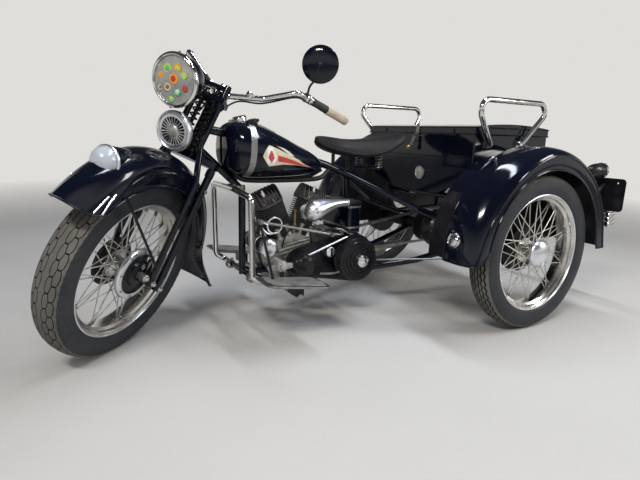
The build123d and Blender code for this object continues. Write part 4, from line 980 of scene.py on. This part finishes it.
GENERATOR = vec(1008, 0, 346)
lathe(GENERATOR, LEFT, [(0, -90), (28, -90), (32, -86), (32, -60), (33, -58), (33, 66), (32, 70), (32, 94),
                        (33.5, 96), (33.5, 101)], "enamel", 44)
lathe(GENERATOR - UP * 3, LEFT, [(33.5, 98), (38.5, 100), (39, 108), (36, 117), (28, 124), (15, 129),
                                 (0, 130)], "polish", 44)
lathe(GENERATOR + vec(-9, 122, 9), (-0.2, 1, 0.1), [(8, -4), (8, 6), (7, 8), (0, 8.5)], "polish", 24)
# Straps round its body
for y in (-46, 40):
    lathe(GENERATOR, LEFT, [(33.2, y - 7), (34.6, y - 6), (34.6, y + 6), (33.2, y + 7)], "steel", 44)
make("generator_body", "chassis", 38, "generator")

# Primary drive's cover, plug and rods, and the clutch drum
lathe(CRANK, LEFT, [(46, 141), (48, 146), (47, 156), (43, 166), (34, 174), (20, 179), (0, 181)], "enamel")
lathe(CRANK, LEFT, [(51, 100), (51, 103), (48, 106), (47, 141)], "enamel")
for turn in turns(3, 0.5):
    bolt(CRANK + polar(44, turn, 160), polar(0.6, turn, 1), 3.5, 4)
lathe((754, 118, 314), LEFT, [(0, 44), (15, 43), (20, 40), (22, 36), (22, 0)], "polish", 32)
# The plug's slot is a near-black bar standing on it: painted shade in the slot
block((7, 3, 32), "recess_shade_black", (754, 162, 314))
rod([(863, 160, 312), (680, 160, 371)], 4.5, "polish")
tube([(800, 150, 226), (740, 156, 222), (690, 168, 236)], 5, "steel")
make("primary_cover", "chassis", 38)
CLUTCH = vec(637, 0, 277)
lathe(CLUTCH, LEFT, [(20, 61), (20, 134), (88, 134), (92, 137), (92, 148), (89, 150), (89, 155), (92, 157),
                     (92, 186), (90, 190), (85, 192), (79, 193), (77, 197), (73, 197), (71, 193.5), (65, 194),
                     (63, 199), (58, 200), (56, 196), (50, 196.5), (48, 203), (43, 204), (41, 200), (34, 200),
                     (32, 205), (27, 206)], "enamel", 64)
lathe(CLUTCH, LEFT, [(27, 204), (27, 218), (25, 223), (16, 227), (0, 228)], "chrome", 40)
make("clutch_drum", "chassis", 38, "clutch")

# Gearbox: ribs, cover and filler
for k in range(5):
    block((5, 108, 6), "alloy", (632 + 26 * k, 0, 386.5))
for x, z in ((624, 372), (684, 378), (744, 372), (624, 228), (744, 228)):
    for side in SIDES:
        bolt((x, side * 60, z), (0, side, 0), 5, 7)
lathe((640, -61, 277), -LEFT, [(0, 0), (38, 0), (38, 5), (30, 9), (20, 10), (20, 40)], "alloy", 36)
tube([(726, 64, 384), (700, 120, 400), (640, 150, 372)], 5, "steel")
make("gearbox_details", "chassis", 40)

# Battery box: straps, a lid and its two caps
BATTERY_X, BATTERY_Y = 638, 45
for z in (402, 488):
    slab(rounded(66, 214, 13), 8, "steel", shift(BATTERY_X, BATTERY_Y, z))
slab(rounded(68, 216, 14), 10, "enamel", shift(BATTERY_X, BATTERY_Y, 504), rise=3)
for y in (-30, 118):
    lathe((BATTERY_X, y, 513), UP, [(0, 9), (9, 8), (10, 0)], "black_rubber", 18)
make("battery_straps", "chassis", 40)

# Footboards and foot controls
TILT = radians(8)
for side in SIDES:
    board = shift(990, side * 281, 246) @ Matrix.Rotation(-TILT, 4, "Y")
    slab(rounded(252, 130, 30), 6, "steel", board)
    slab(rounded(250, 128, 29), 3, "black_rubber", board @ shift(0, 0, 6))
    rod([(972, side * 99.3, 200), (972, side * 300, 200)], 10, "steel", 16)
    block((36, 60, 42), "enamel", (972, side * 265, 222))
    for k in range(-4, 5):
        block((232 - 6 * abs(k), 8, 3), "alloy", (0, 13 * k, 10), board)
    outline = rounded(256, 134, 32, 8)
    rod([board @ vec(x, y, 5) for x, y in outline + outline[:1]], 3.6, "steel", 8)
    for x in (-90, 90):
        for y in (-46, 46):
            bolt(board @ vec(x, y, 9), (-sin(TILT), 0, cos(TILT)), 4, 4)
make("footboard_mats", "chassis", 40, "footboards")
TOP_PIVOT, BACK_PIVOT, HUB_PIVOT = vec(1100, 228, 474), vec(800, 228, 405), vec(1010, 226, 300)
for first, last, radius, finish in (
    (TOP_PIVOT, BACK_PIVOT, 5, "steel"), (TOP_PIVOT, (1060, 262, 250), 5, "enamel"),
    ((800, 236, 405), (800, 216, 405), 9, "steel"), ((1010, 168, 300), HUB_PIVOT, 22, "alloy"),
    ((1010, 224, 300), (1010, 224, 248), 8, "enamel"),
):
    rod([first, last], radius, finish, 20)
lathe((1043, 228, 457), LEFT, [(27, -3), (30, -2.6), (31.6, 0), (30, 2.6), (27, 3), (25.4, 0)], "polish", 40,
      closed=True)
tube([TOP_PIVOT, (1086, 229, 470), (1071, 229, 463)], 4.2, "polish")
tube([(1104, 228, 474), (1088, 228, 446), (1072, 228, 431), (1052, 228, 427.5)], 3.6, "polish")
tube([TOP_PIVOT, (1100, 218, 474), (1090, 206, 470)], 8, "steel", 12)
bolt(TOP_PIVOT + LEFT * 8, LEFT, 7, 8)
bolt(BACK_PIVOT + LEFT * 10, LEFT, 6, 7)
lathe(HUB_PIVOT, LEFT, [(22.5, -4), (23, 0), (20, 5), (12, 7), (11, 14), (0, 15)], "alloy", 32)
slab([(-46, -8), (10, -15), (54, -10), (58, 4), (8, 14), (-44, 10)], 8, "alloy",
     shift(1006, 214, 296) @ Matrix.Rotation(pi / 2, 4, "X") @ shift(0, 0, -4))
tube([(800, 222, 405), (740, 214, 398), (704, 140, 396)], 4.5, "steel")
make("foot_controls", "chassis", 40, "footboards")

# A flat strap on the outer face of the crash bar, and its clamps
for side in SIDES:
    tube([(1123, side * 210.5, 540), (1118, side * 212, 430), (1116, side * 212, 270)], 9, "steel", 8, 0.35)
    collar((1084, side * 112, 236), LEFT, 12, 20, 9, 3, "steel", 24)
    bolt((1076, side * 112, 256), UP, 5, 7)
collar((1086, 0, 566), UP, 16, 22, 13, 4, "steel", 28)
bolt((1110, 8, 578), (1, 0.3, 0), 6, 8)
make("crash_bar_fittings", "chassis", 40)


# Springer fork
def coil(foot, top, wide, count, steps):
    """The line of a coil spring along the fork."""
    total = count * steps
    return [foot.lerp(top, k / total) + FORK_AHEAD * (wide * cos(2 * pi * k / steps))
            + LEFT * (wide * sin(2 * pi * k / steps)) for k in range(total + 1)]


for side in SIDES:
    foot, top, low, high, end = (on_fork(44, side * 26, up) for up in (462, 652, 676, 698, 714))
    rod(coil(foot, top, 13.5, 9, 24), 3.6, "enamel", 8)
    lathe(foot, FORK_UP, [(0, -2), (17, -2), (17.5, 2), (9, 4), (7, 12), (7, 178), (9, 186), (17.5, 188),
                          (17, 192), (0, 192)], "enamel", 24)
    # Rebound springs over the bridge
    rod(coil(low, high, 11, 4, 24), 2.2, "enamel", 6)
    bolt(end, FORK_UP, 8, 12, "chrome")
make("fork_coils", "front_end", 50, "fork_springs")
for side in SIDES:
    for ahead, up in ((-20, -30), (38, -14)):
        bolt(on_fork(ahead, side * 111.5, up), (0, side, 0), 8, 9, "chrome")
    bolt(on_fork(78, side * 97.5, 0), (0, side, 0), 10, 12, "chrome")
    bolt(on_fork(-14, side * 22, 711), FORK_UP, 8, 10, "chrome")
    lathe(on_fork(-14, side * 22, 700), FORK_UP, [(10, -2), (14, -1), (14, 9), (10, 11)], "chrome", 24)
    # Raised bead along the rigid legs, and their brackets to the fender
    rod([on_fork(-19.5, side * 111.4, 10), on_fork(-14.5, side * 111.4, 410)], 2.6, "paint", 8)
    bolt(on_fork(-15, side * 111.5, 352), (0, side, 0), 6, 6)
    lathe(on_fork(-14, side * 98, 404), FORK_UP, [(13, 0), (16, 2), (16, 26), (13, 29)], "paint", 28)
    # Stay from the fender's side to the leg's foot
    rod([(1679, side * 85, 650), (1524.6, side * 114, 366)], 9, "enamel", 10, 0.45)
bolt(on_fork(0, 0, 675), FORK_UP, 15, 18, "chrome")
for up, r, height in ((456, 32, 16), (640, 31, 14)):
    lathe(on_fork(0, 0, up), FORK_UP, [(28, 0), (r, 2), (r, 12), (28, height)], "enamel", 32)
make("fork_fittings", "front_end", 40)

# Front brake plate with its arm
lathe(FRONT_HUB, LEFT, [(60, 50.5), (91, 50.5), (93, 52), (93, 58), (90, 63), (78, 66), (74, 65)],
      "polish", 64)
lathe(FRONT_HUB, LEFT, [(74, 65), (71, 59), (60, 57), (44, 60), (40, 68), (22, 71), (20, 69), (10.6, 69)],
      "enamel", 64)
bolt_circle(FRONT_HUB + vec(0, 62.5, 0), 82, 8, 0.3, LEFT, 4, 5)
tube([FRONT_HUB + vec(-40, 70, 44), FRONT_HUB + vec(-62, 76, 70), FRONT_HUB + vec(-70, 80, 92)], 5, "chrome")
lathe(FRONT_HUB + vec(-40, 62, 44), LEFT, [(0, 14), (9, 13), (10, 10), (10, 0)], "chrome", 24)
slab([(-6, -8), (60, -6), (66, 0), (60, 6), (-6, 8), (-10, 0)], 6, "chrome",
     Matrix.Translation(FRONT_HUB + vec(0, 76, 0)) @ Matrix.Rotation(radians(-150), 4, "Y")
     @ Matrix.Rotation(pi / 2, 4, "X"))
make("front_brake_plate", "front_end", 40, "brake_plate")

# Bridge over the tyre, and two bright polished strips near the front of the fender's sides; the second of them
# stands in for the bead's highlight, a painted highlight
rod([on_fork(-15, -76, 352), on_fork(-15, 76, 352)], 7, "enamel", 12)
for side in SIDES:
    for first, last in (((57.5, 372, 66), (66.2, 387, 72)), ((59.6, 358, 79), (69.3, 385, 79))):
        line = []
        for k in range(9):
            angle, r, w = (a + (b - a) * k / 8 for a, b in zip(first, last))
            line.append(FENDER_AXLE + polar(r, radians(angle), side * (w + 2)))
        tube(line, 2.8, "polish", 8)
make("fender_strip_and_bead_glint", "front_end", 40)

# Small controls on the handlebar: collars, the right hand lever and two control cables
for side, (end, along) in zip(SIDES, BAR_ENDS):
    lathe(end + along * 204, along, [(11.3, 0), (16, 1), (17, 5), (17, 17), (14, 22), (11.3, 23)],
          "chrome", 24)
    if side < 0:
        clamp_at = end + along * 214
        tube([clamp_at, clamp_at + vec(26, -14, -8), clamp_at + vec(-20, -64, -24),
              clamp_at + vec(-110, -120, -56)], 4.6, "chrome")
    tube([end + along * 226 + vec(0, 0, -12), (1035, side * 236, 975), (1064, side * 128, 917),
          (1120, side * 52, 900), on_fork(20, side * 30, 610)], 3.4, "black_rubber", 8)
lathe((1100, 90, 938), (-0.5, 0.4, 1), [(0, -8), (14, -8), (15, -4), (15, 6), (12, 9), (0, 10)], "chrome", 24)
make("bar_controls", "front_end", 40)

# Saddle post and its springs
SPRING_X, SPRING_Y = 470, 75
rod([(580, 0, 616), (580, 0, 712)], 12, "enamel", 16)
rod([(660, 0, 640), (660, 0, 714)], 7.5, "enamel", 14)
for side in SIDES:
    line = [(SPRING_X + 14 * cos(k * pi / 10), side * SPRING_Y + 14 * sin(k * pi / 10), 646 + 64 * k / 110)
            for k in range(111)]
    rod(line, 2.9, "steel", 8)
    lathe((SPRING_X, side * SPRING_Y, 640), UP,
          [(0, 0), (17, 0), (17, 6), (8, 8), (8, 66), (17, 68), (17, 75), (0, 75)], "enamel", 24)
rod([(SPRING_X, -SPRING_Y, 644), (SPRING_X, SPRING_Y, 644)], 8, "enamel", 12)
rod([(580, 0, 644), (SPRING_X, 0, 644)], 8, "enamel", 12)
block((150, 46, 8), "enamel", (620, 0, 716))
make("saddle_post_springs", "chassis", 45, "seat_post")

# Box: corner mouldings, the front panel's seams, and its round badge
BOX_FRONT = 198
for side in SIDES:
    rod([(BOX_FRONT, side * 354, 660), (BOX_FRONT, side * 354, 794)], 4, "paint")
    rod([(BOX_FRONT, side * y, z) for y, z in ((352, 654), (300, 594), (150, 537))], 3.2, "paint")
rod([(199.5, -345, 700), (199.5, 345, 700)], 2.4, "paint", 8)
lathe((203.5, 45, 620), AHEAD, [(0, 3), (22, 2.6), (25, 1.4), (27, 3.2), (30, 2.4), (30, 0)], "alloy", 40)
# Lower leaf of the strap hinge on the box's front, with its brass catch
leaf_top, leaf_end = vec(214, 7, 786), vec(230, -9, 720)
leaf_up = (leaf_top - leaf_end).normalized()
leaf_place = frame_at(leaf_top, AHEAD - leaf_up * leaf_up.x, leaf_up)
slab([(-10, 0), (10, 0), (8, -44), (5, -68), (-5, -68), (-8, -44)], 3, "steel", leaf_place)
rod([(197, 4, 768), (219, 3, 768)], 5, "steel", 12)
lathe((231, -12, 734), (1, -0.2, 0), [(0, 9), (9, 8), (11, 4), (11, 0), (0, 0)], "brass", 24)
make("box_trim", "chassis", 45)
for z, r in ((799.5, 3.0), (828, 2.4)):
    loop = [(x, y, z) for x, y in ((203, -360), (203, 360), (-275, 360), (-275, -360), (203, -360))]
    for ends in zip(loop, loop[1:]):
        rod(ends, r, "paint", 8)
# Upper leaf of the strap hinge
slab([(-11, 0), (11, 0), (10, 38), (7, 44), (-7, 44), (-10, 38)], 3, "steel",
     frame_at((203, 12, 802), AHEAD, (0, 0.12, 1)))
rod([(207, -2, 797), (207, 22, 797)], 4, "steel", 12)
lathe((-277, 0, 806), -AHEAD, [(0, 8), (10, 7), (13, 4), (13, 0)], "chrome", 28)
make("lid_bead", "lid", 45)

# Grab rails with round bends, and their feet on the box's sides
BEND, BEND_Z = 40, 897
for side in SIDES:
    flat_line = [(122, 758)]
    for x, first, last in ((187, -40, 90), (-132, 90, 218)):
        bends = [radians(first + (last - first) * k / 12) for k in range(13)]
        flat_line += [(x + BEND * cos(turn), BEND_Z + BEND * sin(turn)) for turn in bends]
    flat_line.append((-77, 764))
    rod([(x, side * (399 - 30 * max(0, (893 - z) / 135)), z) for x, z in flat_line], 11.5, "chrome", 18)
    for x, z in (flat_line[0], flat_line[-1]):
        block((42, 7, 26), "chrome", (x, side * 359, z))
make("grab_rails_round", "chassis", 40, "grab_rails")

# Tail lamps on brackets that stand on the fenders
TAIL_Y, FENDER_RADIUS = 540, 434
for side in SIDES:
    at = vec(0, side * TAIL_Y, 660)
    lathe(at, AHEAD, [(0, -322), (6, -324), (14, -330), (22, -344), (28, -362), (31.5, -384), (32, -424)],
          "enamel", 36)
    lathe(at, AHEAD, [(32, -420), (34.5, -421), (35, -428), (33, -433), (29, -434)], "chrome", 36)
    lathe(at, AHEAD, [(29, -431), (24, -438), (12, -442), (0, -443)], "red_lens", 36)
    foot = vec(-0.7455, 0, 0.6667)
    start = vec(0, side * TAIL_Y, HUB_Z) + foot * FENDER_RADIUS
    rod([start, start + foot * 44], 11, "enamel", 14)
    lathe(start, foot, [(22, 0), (22, 4), (12, 9)], "enamel", 28)
make("tail_lamps_red", "chassis", 40, "tail_lamps")
for side in SIDES:
    way = polar(1, radians(10.3))
    lathe(vec(0, side * 505, HUB_Z) + way * FENDER_RADIUS, way,
          [(31, 0), (31, 5), (29, 9), (24, 10), (22, 8), (18, 12), (9, 15), (0, 16)], "chrome", 40)
make("fender_caps_chrome", "chassis", 38, "fender_caps")

# Ribs and clamps of the bumper, and fittings of the axle
for side in SIDES:
    for z in (413, 435, 457):
        lathe((-505, side * 562, z), (1, 0.2 * side, 0), [(12.5, -1), (14, 0), (14, 5), (9, 9), (0, 10)],
              "chrome", 24)
    slab(rounded(34, 66, 8), 5, "chrome", frame_at((-604, side * 225, 435), -AHEAD, UP))
    for z in (418, 452):
        bolt((-609, side * 225, z), -AHEAD, 6, 7, "chrome")
make("bumper_clamps", "chassis", 40)
for side in SIDES:
    bolt_circle(vec(0, side * 34, HUB_Z), 84, 12, 0, (0, side, 0), 5, 7)
    for x in (-34, 34):
        bolt((x, side * 225, 392), UP, 7, 9)
    tube([(40, side * 440, 300), (200, side * 300, 262), (480, side * 110, 240)], 4, "steel", 8)
    rod([(20, side * 452, 350), (40, side * 440, 300)], 6, "steel")
make("axle_fittings", "chassis", 40)

# Finishes of the CAD nodes that stay
slot_of_node = {part["node"]: part["material_slot"] for part in frame["record"]["subparts"]}
for name, item in frame["nodes"].items():
    item.data.materials.clear()
    item.data.materials.append(SLOT_LOOKS[slot_of_node[name]])
    item.data.shade_smooth()
    item.data.set_sharp_from_angle(angle=radians(32))

# Floor: it fades to the background's colour far out, for the camera only
SEEN_BEHIND = (0.74, 0.73, 0.70)
floor_finish = surface("floor_finish", None, (0.52, 0.50, 0.47), 0.6, 0, ((0.48, 0.46, 0.43), 0.8, 0.35, 0.7),
                       None, (0.0008, 60, 4), 0.08, gloss=0.3)
tree = floor_finish.node_tree
far = node(tree, "ShaderNodeVectorMath", operation="LENGTH")
tree.links.new(node(tree, "ShaderNodeTexCoord").outputs["Object"], far.inputs[0])
share = paired(tree, "MULTIPLY", ramp(tree, far.outputs["Value"], 3.0, 6.5),
               node(tree, "ShaderNodeLightPath").outputs["Is Camera Ray"])


def blend(tree, share, first, second, end):
    """Two shaders mixed by a share, at the tree's end."""
    n = node(tree, "ShaderNodeMixShader")
    for socket, value in zip(n.inputs, (share, first, second)):
        tree.links.new(value, socket)
    tree.links.new(n.outputs[0], end.inputs["Surface"])


glow = node(tree, "ShaderNodeEmission", Color=(*SEEN_BEHIND, 1), Strength=1.0)
blend(tree, share, tree.nodes["Principled BSDF"].outputs[0], glow.outputs[0], tree.nodes["Material Output"])
floor_mesh = bpy.data.meshes.new("floor")
floor_mesh.from_pydata([(-14, -14, 0), (14, -14, 0), (14, 14, 0), (-14, 14, 0)], [], [(0, 1, 2, 3)])
floor_mesh.materials.append(floor_finish)
floor = bpy.data.objects.new("floor", floor_mesh)
bpy.context.scene.collection.objects.link(floor)

# World: shiny surfaces see the pale background low down and a dark ceiling above it
world = bpy.data.worlds.new("studio")
bpy.context.scene.world = world
world.use_nodes = True
tree = world.node_tree
tree.nodes.clear()
light = node(tree, "ShaderNodeBackground", Color=(0.85, 0.88, 0.95, 1), Strength=0.4)
seen = node(tree, "ShaderNodeBackground", Strength=1.0)
path = node(tree, "ShaderNodeLightPath").outputs
sky = node(tree, "ShaderNodeSeparateXYZ")
tree.links.new(node(tree, "ShaderNodeTexCoord").outputs["Generated"], sky.inputs[0])
ceiling = paired(tree, "MULTIPLY", ramp(tree, sky.outputs["Z"], 0.12, 0.42), path["Is Glossy Ray"])
tree.links.new(mix(tree, ceiling, SEEN_BEHIND, (0.05, 0.05, 0.055)), seen.inputs["Color"])
rays = paired(tree, "MAXIMUM", path["Is Camera Ray"], path["Is Glossy Ray"])
rays = paired(tree, "MAXIMUM", rays, path["Is Transmission Ray"])
blend(tree, rays, light.outputs[0], seen.outputs[0], node(tree, "ShaderNodeOutputWorld"))

# Lamps, in metres. Rows of: name, place, aim, width and height, power, colour
for name, at, aim, size, power, colour in (
    ("key", (2.4, 2.2, 3.0), (0, 0, 0.4), (1.0, 0.3), 90, (1.0, 0.98, 0.95)),
    ("top", (-0.6, 0.6, 3.2), (0, 0, 0.3), (3.0, 0.3), 80, (0.80, 0.88, 1.0)),
    ("side", (-2.6, 2.4, 1.9), (-0.2, 0, 0.5), (0.5, 1.4), 45, (1.0, 0.97, 0.92)),
):
    data = bpy.data.lights.new(name, "AREA")
    data.shape = "RECTANGLE"
    data.size, data.size_y = size
    data.energy = power
    data.color = colour
    lamp = bpy.data.objects.new(name, data)
    lamp.matrix_world = frame_at(at, Vector(at) - Vector(aim))
    bpy.context.scene.collection.objects.link(lamp)

# The camera as solved from the photograph's three wheels, in metres
YAW, PITCH, ROLL = radians(-121.32), radians(-12.45), radians(1.784)
ahead = vec(cos(PITCH) * cos(YAW), cos(PITCH) * sin(YAW), sin(PITCH))
camera_data = bpy.data.cameras.new("camera")
camera_data.sensor_width = 36
camera_data.lens = 27.156
camera = bpy.data.objects.new("camera", camera_data)
camera.matrix_world = frame_at((1.1906, 1.7647, 0.7842), -ahead) @ Matrix.Rotation(ROLL, 4, "Z")
bpy.context.scene.collection.objects.link(camera)
bpy.context.scene.camera = camera
bpy.context.scene.view_settings.view_transform = "Standard"
